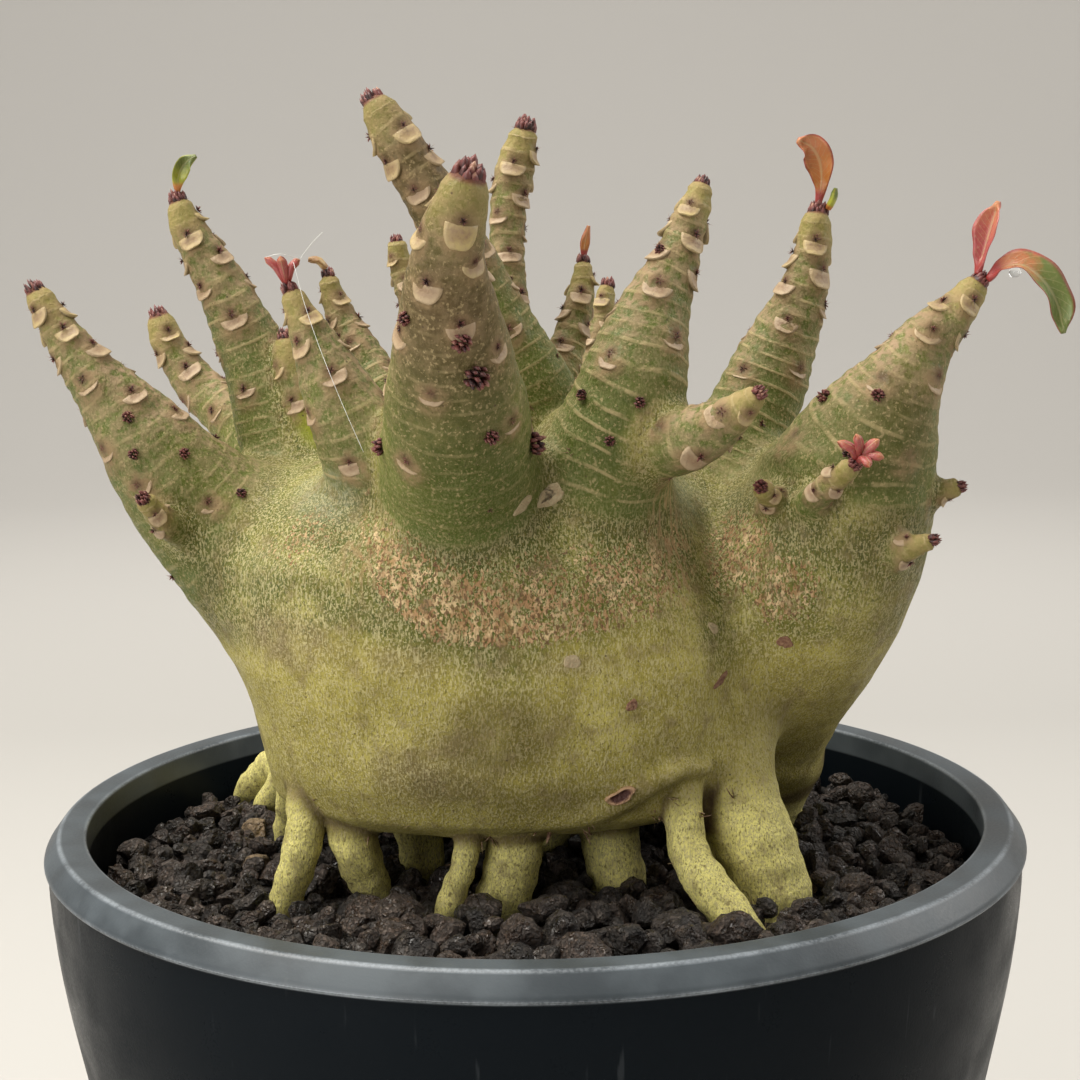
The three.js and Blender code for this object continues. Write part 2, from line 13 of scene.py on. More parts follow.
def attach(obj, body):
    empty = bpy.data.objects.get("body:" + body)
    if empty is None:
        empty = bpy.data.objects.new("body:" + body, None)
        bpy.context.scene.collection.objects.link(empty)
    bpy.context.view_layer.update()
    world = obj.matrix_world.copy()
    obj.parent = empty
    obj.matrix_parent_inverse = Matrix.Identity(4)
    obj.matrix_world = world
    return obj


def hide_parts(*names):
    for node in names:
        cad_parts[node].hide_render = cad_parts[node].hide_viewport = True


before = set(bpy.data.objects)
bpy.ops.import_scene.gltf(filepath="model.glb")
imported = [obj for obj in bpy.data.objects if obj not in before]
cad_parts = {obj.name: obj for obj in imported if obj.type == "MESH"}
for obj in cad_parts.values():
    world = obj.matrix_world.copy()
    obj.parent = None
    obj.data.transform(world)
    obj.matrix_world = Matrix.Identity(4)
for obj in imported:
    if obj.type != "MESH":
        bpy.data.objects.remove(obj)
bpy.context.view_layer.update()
MM = 0.001


# ---------------------------------------------------------------- camera
# It stands in front of the pot and a little above the crown, tipped down, and sees the rim's
# near side low in the frame, as the photograph does. The frame is 1080 by 1080.
IMAGE_SIDE = 1080
FOCAL_PX = 2000
SENSOR = 36.0
CAMERA_PLACE = (0, -366.75 * MM, 236 * MM)
CAMERA_RIGHT = (0.99988446, -0.00649307, -0.0137443)
CAMERA_UP = (0.0145665, 0.15080323, 0.98845647)

camera_data = bpy.data.cameras.new("camera")
camera_data.sensor_width = SENSOR
camera_data.lens = SENSOR * FOCAL_PX / IMAGE_SIDE
camera_data.clip_start = 0.01
camera = bpy.data.objects.new("camera", camera_data)
bpy.context.scene.collection.objects.link(camera)
right = Vector(CAMERA_RIGHT).normalized()
back = right.cross(Vector(CAMERA_UP)).normalized()
up = back.cross(right)
camera.matrix_world = Matrix.Translation(CAMERA_PLACE) @ Matrix((right, up, back)).transposed().to_4x4()
bpy.context.scene.camera = camera


# ---------------------------------------------------------------- studio
# A plain pale floor that sweeps up into a wall. One wide soft light stands above and to the
# left, as an overcast sky does. Weaker ones in front and at the right open the shadows, and a
# fourth one lights the wall.
FLOOR_COLOUR = (0.52, 0.505, 0.48, 1)
SKY_COLOUR = (1.0, 0.985, 0.96, 1)
SKY_STRENGTH = 0.6

FLOOR_REACH = 1.5           # the floor is flat this far out, then sweeps up into a wall
SWEEP_RADIUS = 1.3
WALL_TOP = 3.2
FLOOR_SIDES = 96
SWEEP_STEPS = 16


def ring_faces(rows, sides):
    """Four-sided faces between rows of corners, where each row is a closed ring."""
    here = np.arange(sides)
    beside = (here + 1) % sides
    return np.vstack([
        np.stack([low + here, low + beside, low + sides + beside, low + sides + here], axis=1)
        for low in range(0, (rows - 1) * sides, sides)
    ])


def turned(profile, sides):
    """Corners and four-sided faces of a profile of radius and height turned round +Z."""
    angle = np.arange(sides) * 2 * math.pi / sides
    profile = np.array(profile, dtype=np.float64)
    corners = np.stack(
        [
            profile[:, :1] * np.cos(angle),
            profile[:, :1] * np.sin(angle),
            np.repeat(profile[:, 1:], sides, axis=1),
        ],
        axis=2,
    ).reshape(-1, 3)
    return corners, ring_faces(len(profile), sides)


sweep_turn = np.linspace(0, math.pi / 2, SWEEP_STEPS + 1)[1:]
floor_profile = [(0.001, 0), (0.3, 0), (FLOOR_REACH, 0)]
floor_profile += [
    (FLOOR_REACH + SWEEP_RADIUS * math.sin(turn), SWEEP_RADIUS * (1 - math.cos(turn))) for turn in sweep_turn
]
floor_profile.append((FLOOR_REACH + SWEEP_RADIUS, WALL_TOP))
floor_corners, floor_faces = turned(floor_profile, FLOOR_SIDES)
floor_data = bpy.data.meshes.new("floor")
floor_data.from_pydata(floor_corners.tolist(), [], floor_faces.tolist())
for floor_face in floor_data.polygons:
    floor_face.use_smooth = True
floor = bpy.data.objects.new("floor", floor_data)
bpy.context.scene.collection.objects.link(floor)
floor_material = bpy.data.materials.new("pale_floor")
floor_material.use_nodes = True
floor_shader = floor_material.node_tree.nodes["Principled BSDF"]
floor_shader.inputs["Base Color"].default_value = FLOOR_COLOUR
floor_shader.inputs["Roughness"].default_value = 0.9
floor_data.materials.append(floor_material)

world = bpy.data.worlds.new("studio")
world.use_nodes = True
world.node_tree.nodes["Background"].inputs["Color"].default_value = SKY_COLOUR
world.node_tree.nodes["Background"].inputs["Strength"].default_value = SKY_STRENGTH
bpy.context.scene.world = world
bpy.context.scene.view_settings.view_transform = "Standard"


def soft_light(name, place, aim, side, watts, colour):
    data = bpy.data.lights.new(name, "AREA")
    data.shape = "SQUARE"
    data.size = side
    data.energy = watts
    data.color = colour
    lamp = bpy.data.objects.new(name, data)
    lamp.location = place
    lamp.rotation_euler = (Vector(aim) - Vector(place)).to_track_quat("-Z", "Y").to_euler()
    bpy.context.scene.collection.objects.link(lamp)


CROWN = (0, 0, 0.19)
soft_light("sky_light", (-0.45, -0.02, 1.1), CROWN, 0.8, 17.5, (1.0, 0.97, 0.9))
soft_light("front_fill", (-0.95, -1.0, 0.4), CROWN, 0.8, 10.5, (1.0, 0.98, 0.95))
soft_light("side_fill", (0.9, 0.2, 0.7), CROWN, 0.7, 5.5, (1.0, 0.98, 0.95))
soft_light("wall_light", (0, 0.8, 1.3), (0, 2.6, 1.0), 1.4, 18, (1.0, 0.97, 0.93))


# ---------------------------------------------------------------- caudex
# The plant itself is one grown body: a swollen trunk of two lobes, the shoots that rise from
# its shoulders and the roots that lift it off the grit. It is made as one surface round the
# same centrelines as the solid, with soft junctions, and then gets its rings and lumps.
TRUNK = [  # height, centre x and y, half width along x and y
    (130.5, -5, 3, 27, 22), (132, -5, 2, 38, 31), (136, -5, 1, 43.5, 38), (143, -5, 0, 45, 40.5),
    (152, -5.3, 0, 46.5, 41.5), (161, -7, 0, 48.5, 42), (170, -9.5, 0, 48.8, 41.5), (180, -12, 0, 46, 40),
    (188, -11, 1, 42, 36), (194, -9, 2, 36, 30), (199, -6, 4, 25, 22), (202, -3, 5, 12, 10),
]
RIGHT_LOBE = [
    (126, 42.5, 21, 8, 9), (130, 42.6, 19.5, 12.5, 14), (137, 43.3, 16, 14, 18), (144, 44.2, 12, 15, 21),
    (152, 46, 8, 16.2, 24), (161, 48, 4, 17.6, 26), (171, 49.5, 0, 18.4, 26.5), (180, 51.5, -3, 17.8, 24),
    (188, 53.5, -6, 14, 18), (193, 55, -8, 7, 9),
]
SHOOTS = {  # centreline x, y, z and radius, from inside the trunk to the tip
    "far_left": [(-28, -2, 168, 15), (-47, -4, 176, 14.3), (-59, -8, 187.5, 12), (-68, -11, 200, 8.7),
                 (-76, -12, 211, 5.3), (-82, -12, 219.5, 3.5), (-86, -12, 226.5, 2.6)],
    "left_tall": [(-36, 2, 182, 10), (-45.8, 6, 197, 7.9), (-50.6, 8, 212.7, 6.5), (-55.7, 8, 225, 5.2),
                  (-62.2, 8, 237.4, 3.5), (-64, 8, 242, 2.6)],
    "back_left": [(-42, 24, 182, 9), (-56, 34, 197, 6), (-65.9, 40, 205.3, 4.7), (-72.6, 42, 213.8, 3.6),
                  (-74.7, 42, 219.5, 2.8)],
    "front_left": [(-20, -10, 178, 11), (-25.4, -20, 192.3, 8.6), (-29.9, -25, 203.4, 7.4),
                   (-33.5, -26, 212, 5.6), (-37.8, -26, 221.9, 3.1), (-39.8, -26, 226.4, 2.2)],
    "lime_shoot": [(-37, 2, 187, 5), (-39.3, 2, 195.3, 4.6), (-41, 2, 202, 3.9), (-43, 2, 210.5, 3.3),
                   (-44.4, 2, 217, 2.2)],
    "back_crown": [(-18, 10, 190, 7), (-26.6, 15, 204.2, 5.2), (-32.5, 20, 214, 4.1), (-36.7, 22, 222.5, 2.7),
                   (-38.2, 22, 228, 2)],
    "front_main": [(-11, -10, 178, 14), (-11.6, -27, 191.5, 13.2), (-12, -41, 206.5, 12),
                   (-12.1, -52, 221, 8.8), (-12.1, -60, 231.5, 5.9), (-10.6, -64, 237.6, 4.8),
                   (-9, -66, 243, 3.8)],
    "tallest": [(2, -2, 188, 9), (2.8, -6, 204.7, 7.2), (-5, -9, 221.4, 5.4), (-14, -12, 238, 4.9),
                (-22.1, -14, 252.2, 4.2), (-25.5, -14, 258, 3)],
    "top_back": [(0, 2, 190, 7), (-1.2, 6, 205.5, 4.9), (-3, 12, 220.2, 3.6), (-3.8, 16, 236, 3.3),
                 (-2.3, 18, 247.2, 3.8), (-0.4, 18, 254.6, 3)],
    "small_back": [(-14, 22, 194, 6), (-20.6, 32, 214.7, 3.3), (-24.8, 36, 228.4, 2.5),
                   (-25.9, 36, 234.2, 1.9)],
    "short_back": [(0, 6, 190, 7), (3.9, 12, 203, 4.6), (7, 18, 213, 3.5), (10.1, 21, 223.5, 3),
                   (10.7, 22, 230, 2)],
    "far_back": [(4, 28, 186, 8), (11.4, 41, 204.5, 4), (14.8, 46, 216.4, 2.9), (16.3, 48, 224.5, 2.3)],
    "right_cone": [(8, -12, 178, 13), (12.1, -22, 193.8, 11.6), (17.2, -26, 208.8, 9.5),
                   (20.4, -25, 219.7, 7.1), (24.6, -23, 229.7, 4.6), (28.1, -21, 238.5, 3.2),
                   (29.7, -20, 243.2, 2.2)],
    "side_shoot": [(8, -20, 199, 7), (18.8, -27, 201, 6.3), (25.2, -33, 201.3, 5.6), (30.2, -37, 203.8, 4.4),
                   (34.5, -40, 207.3, 2.8), (36.8, -42, 209.5, 1.9)],
    "right_tall": [(28, 2, 178, 12), (37.7, 8, 193.5, 9.4), (45.3, 12, 209, 7.8), (50.3, 12, 220.8, 5.5),
                   (53.3, 12, 231.3, 3.7), (54.3, 12, 238, 2.9)],
    "far_right": [(46, -2, 166, 17), (54.2, -8, 180.5, 16.2), (58.2, -15, 196, 13.2), (63, -18, 206, 8.8),
                  (68.7, -18, 216, 5.2), (73.6, -18, 221.1, 3.8), (77.4, -18, 225.8, 2.6)],
}
STUBS = {
    "far_left_stub": [(-60, -16, 184, 3.6), (-63.7, -22, 187.5, 2.6), (-66, -26, 191.5, 2)],
    "far_right_inner": [(46, -12, 185, 3.4), (41.6, -24, 190.2, 2.3), (39.4, -29.5, 192.8, 1.9)],
    "far_right_front": [(49, -18, 187, 3.4), (48, -27, 190, 2.6), (50.8, -32, 193.8, 2.3),
                        (53.5, -36, 197, 1.9)],
    "far_right_outer": [(60, -14, 186, 3.2), (68.6, -16, 188.3, 2.3), (72.2, -17, 190.1, 2.1),
                        (74.8, -18, 191, 1.7)],
    "far_right_low": [(57, -14, 176, 3.6), (62, -23, 179.5, 2.7), (65, -27, 181.7, 2.4),
                      (68, -29, 183.2, 1.7)],
}
ROOTS = {
    "back_left_outer": [(-38, 24, 144, 6.5), (-51, 32, 131, 3.9), (-56.5, 40, 125.5, 3.4),
                        (-61.5, 45, 118.5, 2.9), (-62.5, 46, 109, 2.3)],
    "back_left_root": [(-42, 20, 139, 4.8), (-50.8, 28, 127.4, 2.9), (-56.2, 33, 119, 2.6),
                       (-58, 35, 109, 2)],
    "left_thin": [(-44, 6, 141, 4), (-47.7, 8, 130.6, 2.3), (-49.2, 11, 118.8, 2.1), (-49.6, 12, 109, 1.8)],
    "front_far_left": [(-38, -17, 147, 5), (-40.3, -22, 139, 3.7), (-41.2, -25, 130, 3.5),
                       (-44.6, -26, 119.3, 3), (-46, -26, 106, 2.4)],
    "front_left_root": [(-30.5, -16, 146, 6), (-32.9, -22, 137.5, 4.1), (-32.1, -24, 129.4, 4.3),
                        (-29, -21, 118.2, 3.3), (-28, -20, 104, 2.6)],
    "inner_left": [(-24, -1, 139, 7), (-22.5, -4, 129, 5), (-20.8, -6, 118, 3.9), (-20.5, -7, 104, 3)],
    "front_thin": [(-10.8, -25, 143, 3.4), (-11.4, -30, 135, 2.4), (-12.3, -32, 129, 2.2),
                   (-15.5, -32, 119.6, 2.4), (-17, -32, 108, 2)],
    "front_middle": [(-3, -20, 143, 6.4), (-3.2, -27, 133.6, 4.9), (-4.2, -28, 126.6, 4.8),
                     (-6.5, -28, 117.5, 4.6), (-7, -28, 102, 3.6)],
    "inner_right": [(12, -9, 139, 7), (13.2, -14, 129.4, 5.6), (15.2, -16, 117.7, 5.2), (16, -17, 102, 4.2)],
    "front_right_thin": [(24, -25, 148, 5), (25.5, -30, 139.4, 3.5), (26.3, -33, 130.8, 3.5),
                         (30, -37, 124.4, 3.8), (35.5, -41, 118, 3.6), (39, -44, 109, 2.8)],
    "front_right": [(34.5, -14, 149, 9), (36.5, -21, 139, 6.8), (38.3, -24, 129.6, 7.4),
                    (42.2, -26.5, 118.2, 6.9), (44, -28, 102, 5.4)],
    "right_rear": [(44, 17, 136, 13), (43, 21, 124, 10.6), (43.5, 23, 114, 9), (44, 24, 101, 7)],
    "tap": [(-4, 3, 142, 16), (-3, 5, 130, 11.5), (-3, 6, 118, 9), (-2, 6, 103, 7)],
    "rear_left": [(-22, 22, 142, 8), (-26, 31, 130, 5.3), (-30, 37, 118, 4), (-31, 39, 105, 3.1)],
    "rear_middle": [(-2, 25, 142, 9), (-4, 33, 130, 5.8), (-5, 39, 118, 4.7), (-5, 41, 104, 3.6)],
    "rear_right": [(19, 24, 142, 9), (22, 33, 130, 5.7), (24, 39, 118, 4.8), (25, 41, 104, 3.7)],
}
FOLDS = {
    "root_crown_fold": [(-6, -33.5, 135.6, 1.2), (4, -35.2, 137.2, 1.8), (12, -36, 139.2, 2.1),
                        (19, -35.5, 142.6, 2.0), (25, -33.5, 144.8, 1.6), (30, -30.5, 144.2, 1.0)],
    "left_crown_fold": [(-42, -19, 141, 1.0), (-36, -25.5, 138.6, 1.6), (-28, -29.5, 136.8, 1.5),
                        (-20, -30.5, 135.6, 1.0)],
    "back_crown_fold": [(-20, 32, 138, 1.2), (-6, 35.5, 137, 1.8), (10, 36, 138, 1.9), (24, 31, 140, 1.3)],
}
SQUARENESS = 2.3            # exponent of the trunk's rounded-square section
LOBE_JOIN = 9.0             # width in millimetres over which the two lobes flow together
SHOOT_JOIN = 0.55           # the same, as a share of the radius at the foot of a shoot
ROOT_JOIN = 0.24            # and of a root
STUB_JOIN = 2.2             # the other widths are in millimetres again
FOLD_JOIN = 1.2
THICK_ROOT_JOIN = 6.5
TIP_DOME = 0.8              # height of a shoot's round tip, in tip radii
CELL_ACROSS = 0.98
CELL_LOW = 1.22
CELL_HIGH = 0.9
CROWN_START = 176           # above this height the surface is made with finer cells
FIELD_LOW = (-92, -74, 90)
FIELD_HIGH = (86, 58, 264)
FAR = 60.0


def centreline(knots, steps):
    """Points x, y, z, radius on a smooth curve through the knots, `steps` to each span."""
    knots = np.array(knots, dtype=np.float64)
    before_first = 2 * knots[0] - knots[1]
    after_last = 2 * knots[-1] - knots[-2]
    padded = np.vstack([before_first, knots, after_last])
    share = (np.arange(steps) / steps)[:, None]
    rows = []
    for span in range(len(knots) - 1):
        previous, start, end, following = padded[span:span + 4]
        leave = 0.5 * (end - previous)
        arrive = 0.5 * (following - start)
        rows.append(
            (2 * share**3 - 3 * share**2 + 1) * start
            + (share**3 - 2 * share**2 + share) * leave
            + (3 * share**2 - 2 * share**3) * end
            + (share**3 - share**2) * arrive
        )
    rows.append(knots[-1:])
    return np.vstack(rows)


def section_distance(x, y, z, sections):
    """How far points lie outside a lobe that is given by its sections at several heights."""
    sections = np.array(sections, dtype=np.float64)
    heights = sections[:, 0]
    half_x = np.interp(z, heights, sections[:, 3])
    half_y = np.interp(z, heights, sections[:, 4])
    across = np.abs((x - np.interp(z, heights, sections[:, 1])) / half_x) ** SQUARENESS
    along = np.abs((y - np.interp(z, heights, sections[:, 2])) / half_y) ** SQUARENESS
    reach = np.power(across + along, 1 / SQUARENESS)
    mean_half = 0.5 * (half_x + half_y)
    slope = np.gradient(0.5 * (sections[:, 3] + sections[:, 4]), heights)
    steep = np.sqrt(1 + np.interp(z, heights, slope) ** 2)
    sideways = (reach - 1) * mean_half / steep
    above = z - heights[-1]
    below = heights[0] - z
    return np.maximum(sideways, np.maximum(above, below))


def tube_distance(x, y, z, start, end):
    """How far points lie outside a round bar that tapers between two centreline points."""
    step = end - start
    length_squared = step[0] ** 2 + step[1] ** 2 + step[2] ** 2
    share = ((x - start[0]) * step[0] + (y - start[1]) * step[1] + (z - start[2]) * step[2]) / length_squared
    share = np.clip(share, 0, 1)
    off_x = x - start[0] - share * step[0]
    off_y = y - start[1] - share * step[1]
    off_z = z - start[2] - share * step[2]
    return np.sqrt(off_x**2 + off_y**2 + off_z**2) - (start[3] + share * step[3])


def soft_join(first, second, width):
    """The nearer of two distances, rounded off where they differ by less than `width`."""
    share = np.maximum(width - np.abs(first - second), 0) / width
    return np.minimum(first, second) - share**2 * width / 4


def trunk_distance(x, y, z):
    return soft_join(section_distance(x, y, z, TRUNK), section_distance(x, y, z, RIGHT_LOBE), LOBE_JOIN)


def grown_parts():
    """Every shoot, stub, fold and root: its kind, its name, its centreline and its join width."""
    for kind, group in (("shoot", SHOOTS), ("stub", STUBS), ("fold", FOLDS), ("root", ROOTS)):
        for name, knots in group.items():
            line = centreline(knots, 5 if kind == "shoot" else 4)
            foot_radius = knots[1][3]
            join = {
                "shoot": SHOOT_JOIN * foot_radius,
                "stub": STUB_JOIN,
                "fold": FOLD_JOIN,
                "root": THICK_ROOT_JOIN if name == "front_right" else ROOT_JOIN * foot_radius,
            }[kind]
            if kind in ("shoot", "stub"):
                tip = line[-1]
                before_tip = line[-2]
                onward = (tip[:3] - before_tip[:3]) / np.linalg.norm(tip[:3] - before_tip[:3])
                line[-1, :3] = tip[:3] - onward * tip[3] * (1 - TIP_DOME)
            yield kind, name, line, join


def grid_field():
    """The plant's distance field on a grid of box cells, finer in the crown."""
    axis_x = np.arange(FIELD_LOW[0], FIELD_HIGH[0], CELL_ACROSS)
    axis_y = np.arange(FIELD_LOW[1], FIELD_HIGH[1], CELL_ACROSS)
    low_part = np.arange(FIELD_LOW[2], CROWN_START, CELL_LOW)
    axis_z = np.concatenate([low_part, np.arange(low_part[-1] + CELL_HIGH, FIELD_HIGH[2], CELL_HIGH)])
    axes = (axis_x, axis_y, axis_z)
    field = np.full((len(axis_x), len(axis_y), len(axis_z)), FAR, dtype=np.float32)

    def window(low, high):
        cuts = []
        for axis, start, end in zip(axes, low, high):
            first = max(int(np.searchsorted(axis, start)) - 1, 0)
            last = min(int(np.searchsorted(axis, end)) + 1, len(axis))
            cuts.append(slice(first, last))
        return tuple(cuts)

    def spread(cut):
        return (axis_x[cut[0]][:, None, None], axis_y[cut[1]][None, :, None], axis_z[cut[2]][None, None, :])

    trunk = window((-66, -50, 124), (76, 52, 206))
    field[trunk] = np.minimum(trunk_distance(*spread(trunk)), FAR)
    for kind, name, line, join in grown_parts():
        margin = line[:, 3].max() + join + 3
        whole = window(line[:, :3].min(0) - margin, line[:, :3].max(0) + margin)
        own = np.full([cut.stop - cut.start for cut in whole], FAR, dtype=np.float32)
        for start, end in zip(line[:-1], line[1:]):
            reach = max(start[3], end[3]) + join + 3
            near = window(np.minimum(start[:3], end[:3]) - reach, np.maximum(start[:3], end[:3]) + reach)
            near = tuple(slice(max(a.start, b.start), min(a.stop, b.stop)) for a, b in zip(near, whole))
            local = tuple(slice(a.start - b.start, a.stop - b.start) for a, b in zip(near, whole))
            own[local] = np.minimum(own[local], tube_distance(*spread(near), start, end))
        field[whole] = soft_join(field[whole], own, join)
    return axes, field


def skin_of(axes, field):
    """Corners and four-sided faces of the surface where the field is zero."""
    inside = field < 0
    size_x, size_y, size_z = field.shape
    corner_steps = [(i, j, k) for i in (0, 1) for j in (0, 1) for k in (0, 1)]
    corners_inside = np.zeros((size_x - 1, size_y - 1, size_z - 1), dtype=np.int8)
    for i, j, k in corner_steps:
        corners_inside += inside[i:size_x - 1 + i, j:size_y - 1 + j, k:size_z - 1 + k]
    cells = np.argwhere((corners_inside > 0) & (corners_inside < 8))
    number = np.full(corners_inside.shape, -1, dtype=np.int32)
    number[tuple(cells.T)] = np.arange(len(cells))
    total = np.zeros((len(cells), 3))
    crossings = np.zeros(len(cells))
    values = {step: field[tuple((cells + step).T)].astype(np.float64) for step in corner_steps}
    places = {
        step: np.stack([axis[cells[:, n] + step[n]] for n, axis in enumerate(axes)], axis=1)
        for step in corner_steps
    }
    for one in corner_steps:
        for other in corner_steps:
            if sum(b - a for a, b in zip(one, other)) != 1 or any(b < a for a, b in zip(one, other)):
                continue
            crossed = (values[one] < 0) != (values[other] < 0)
            gap = np.where(crossed, values[one] - values[other], 1)
            share = (values[one] / gap)[:, None]
            total += np.where(crossed[:, None], places[one] + share * (places[other] - places[one]), 0)
            crossings += crossed
    corners = total / crossings[:, None]
    faces = []
    for axis in range(3):
        low = [slice(None)] * 3
        high = [slice(None)] * 3
        low[axis] = slice(None, -1)
        high[axis] = slice(1, None)
        leaving = inside[tuple(low)] & ~inside[tuple(high)]
        entering = ~inside[tuple(low)] & inside[tuple(high)]
        side_a = np.eye(3, dtype=int)[(axis + 1) % 3]
        side_b = np.eye(3, dtype=int)[(axis + 2) % 3]
        for mask, order in ((leaving, 1), (entering, -1)):
            edges = np.argwhere(mask)
            ring = [number[tuple((edges - s).T)] for s in (side_a + side_b, side_b, 0 * side_a, side_a)]
            faces.append(np.stack(ring, axis=1)[:, ::order])
    return corners, np.vstack(faces)


def surface_piece(name, corners, *face_groups, smooth=True):
    """A mesh object from corners in millimetres and groups of faces with as many sides each."""
    data = bpy.data.meshes.new(name)
    data.vertices.add(len(corners))
    data.vertices.foreach_set("co", (np.asarray(corners) * MM).astype(np.float32).ravel())
    turns = np.concatenate([faces.ravel() for faces in face_groups]).astype(np.int32)
    sides = np.concatenate([np.full(len(faces), faces.shape[1]) for faces in face_groups])
    data.loops.add(len(turns))
    data.loops.foreach_set("vertex_index", turns)
    data.polygons.add(len(sides))
    starts = np.concatenate([[0], np.cumsum(sides)[:-1]]).astype(np.int32)
    data.polygons.foreach_set("loop_start", starts)
    data.update(calc_edges=True)
    data.validate()
    data.polygons.foreach_set("use_smooth", np.full(len(data.polygons), smooth))
    piece = bpy.data.objects.new(name, data)
    bpy.context.scene.collection.objects.link(piece)
    return piece


def set_attribute(piece, name, values):
    data = piece.data.attributes.new(name, "FLOAT", "POINT")
    data.data.foreach_set("value", np.asarray(values, dtype=np.float32))


BEND_BLEND = 0.35           # evens out the lengths along a line round its bends


def follow(points, line):
    """For each point, how far it lies outside a tapered line and how far along from its tip.

    Past the tip the second value is less than zero.
    """
    steps = np.diff(line[:, :3], axis=0)
    lengths = np.linalg.norm(steps, axis=1)
    to_tip = np.cumsum(lengths[::-1])[::-1]
    gaps = []
    along = []
    for start, end, step, length, rest in zip(line[:-1], line[1:], steps, lengths, to_tip):
        share = np.clip((points - start[:3]) @ step / length**2, 0, 1)
        off = points - start[:3] - share[:, None] * step
        gaps.append(np.linalg.norm(off, axis=1) - start[3] - share * (end[3] - start[3]))
        along.append(rest - share * length)
    gaps = np.array(gaps)
    best = gaps.min(axis=0)
    weight = np.exp((best - gaps) / BEND_BLEND)
    from_tip = (weight * along).sum(axis=0) / weight.sum(axis=0)
    past = (points - line[-1, :3]) @ (steps[-1] / lengths[-1])
    return best, np.where((past > 0) & (from_tip < 2), -past, from_tip)


NOISE_CELLS = 32            # the noise repeats after so many cells


def lattice_noise(points, size, seed):
    """Smooth random values between -1 and 1 that change over about `size` millimetres."""
    table = np.random.default_rng(seed).uniform(-1, 1, (NOISE_CELLS,) * 3)
    cell = np.floor(points / size).astype(int)
    share = points / size - cell
    share = share * share * (3 - 2 * share)
    total = 0
    for step in ((i, j, k) for i in (0, 1) for j in (0, 1) for k in (0, 1)):
        weight = np.prod(np.where(np.array(step) == 1, share, 1 - share), axis=1)
        total = total + weight * table[tuple(((cell + step) % NOISE_CELLS).T)]
    return total


def rise(values, low, high):
    share = np.clip((values - low) / (high - low), 0, 1)
    return share * share * (3 - 2 * share)


def face_normals_at_corners(corners, faces):
    first_side = corners[faces[:, 2]] - corners[faces[:, 0]]
    second_side = corners[faces[:, 3]] - corners[faces[:, 1]]
    normal = np.cross(first_side, second_side)
    total = np.zeros_like(corners)
    for column in range(faces.shape[1]):
        for axis in range(3):
            total[:, axis] += np.bincount(faces[:, column], normal[:, axis], len(corners))
    return total / np.maximum(np.linalg.norm(total, axis=1, keepdims=True), 1e-9)


def relaxed(corners, faces, share):
    """Corners moved a share of the way to the mean of their neighbours, to even out the cells."""
    ring = np.zeros_like(corners)
    neighbours = np.zeros(len(corners))
    for here, beside in ((0, 1), (1, 2), (2, 3), (3, 0)):
        for one, other in ((here, beside), (beside, here)):
            neighbours += np.bincount(faces[:, one], minlength=len(corners))
            for axis in range(3):
                ring[:, axis] += np.bincount(faces[:, one], corners[faces[:, other], axis], len(corners))
    return corners + share * (ring / neighbours[:, None] - corners)


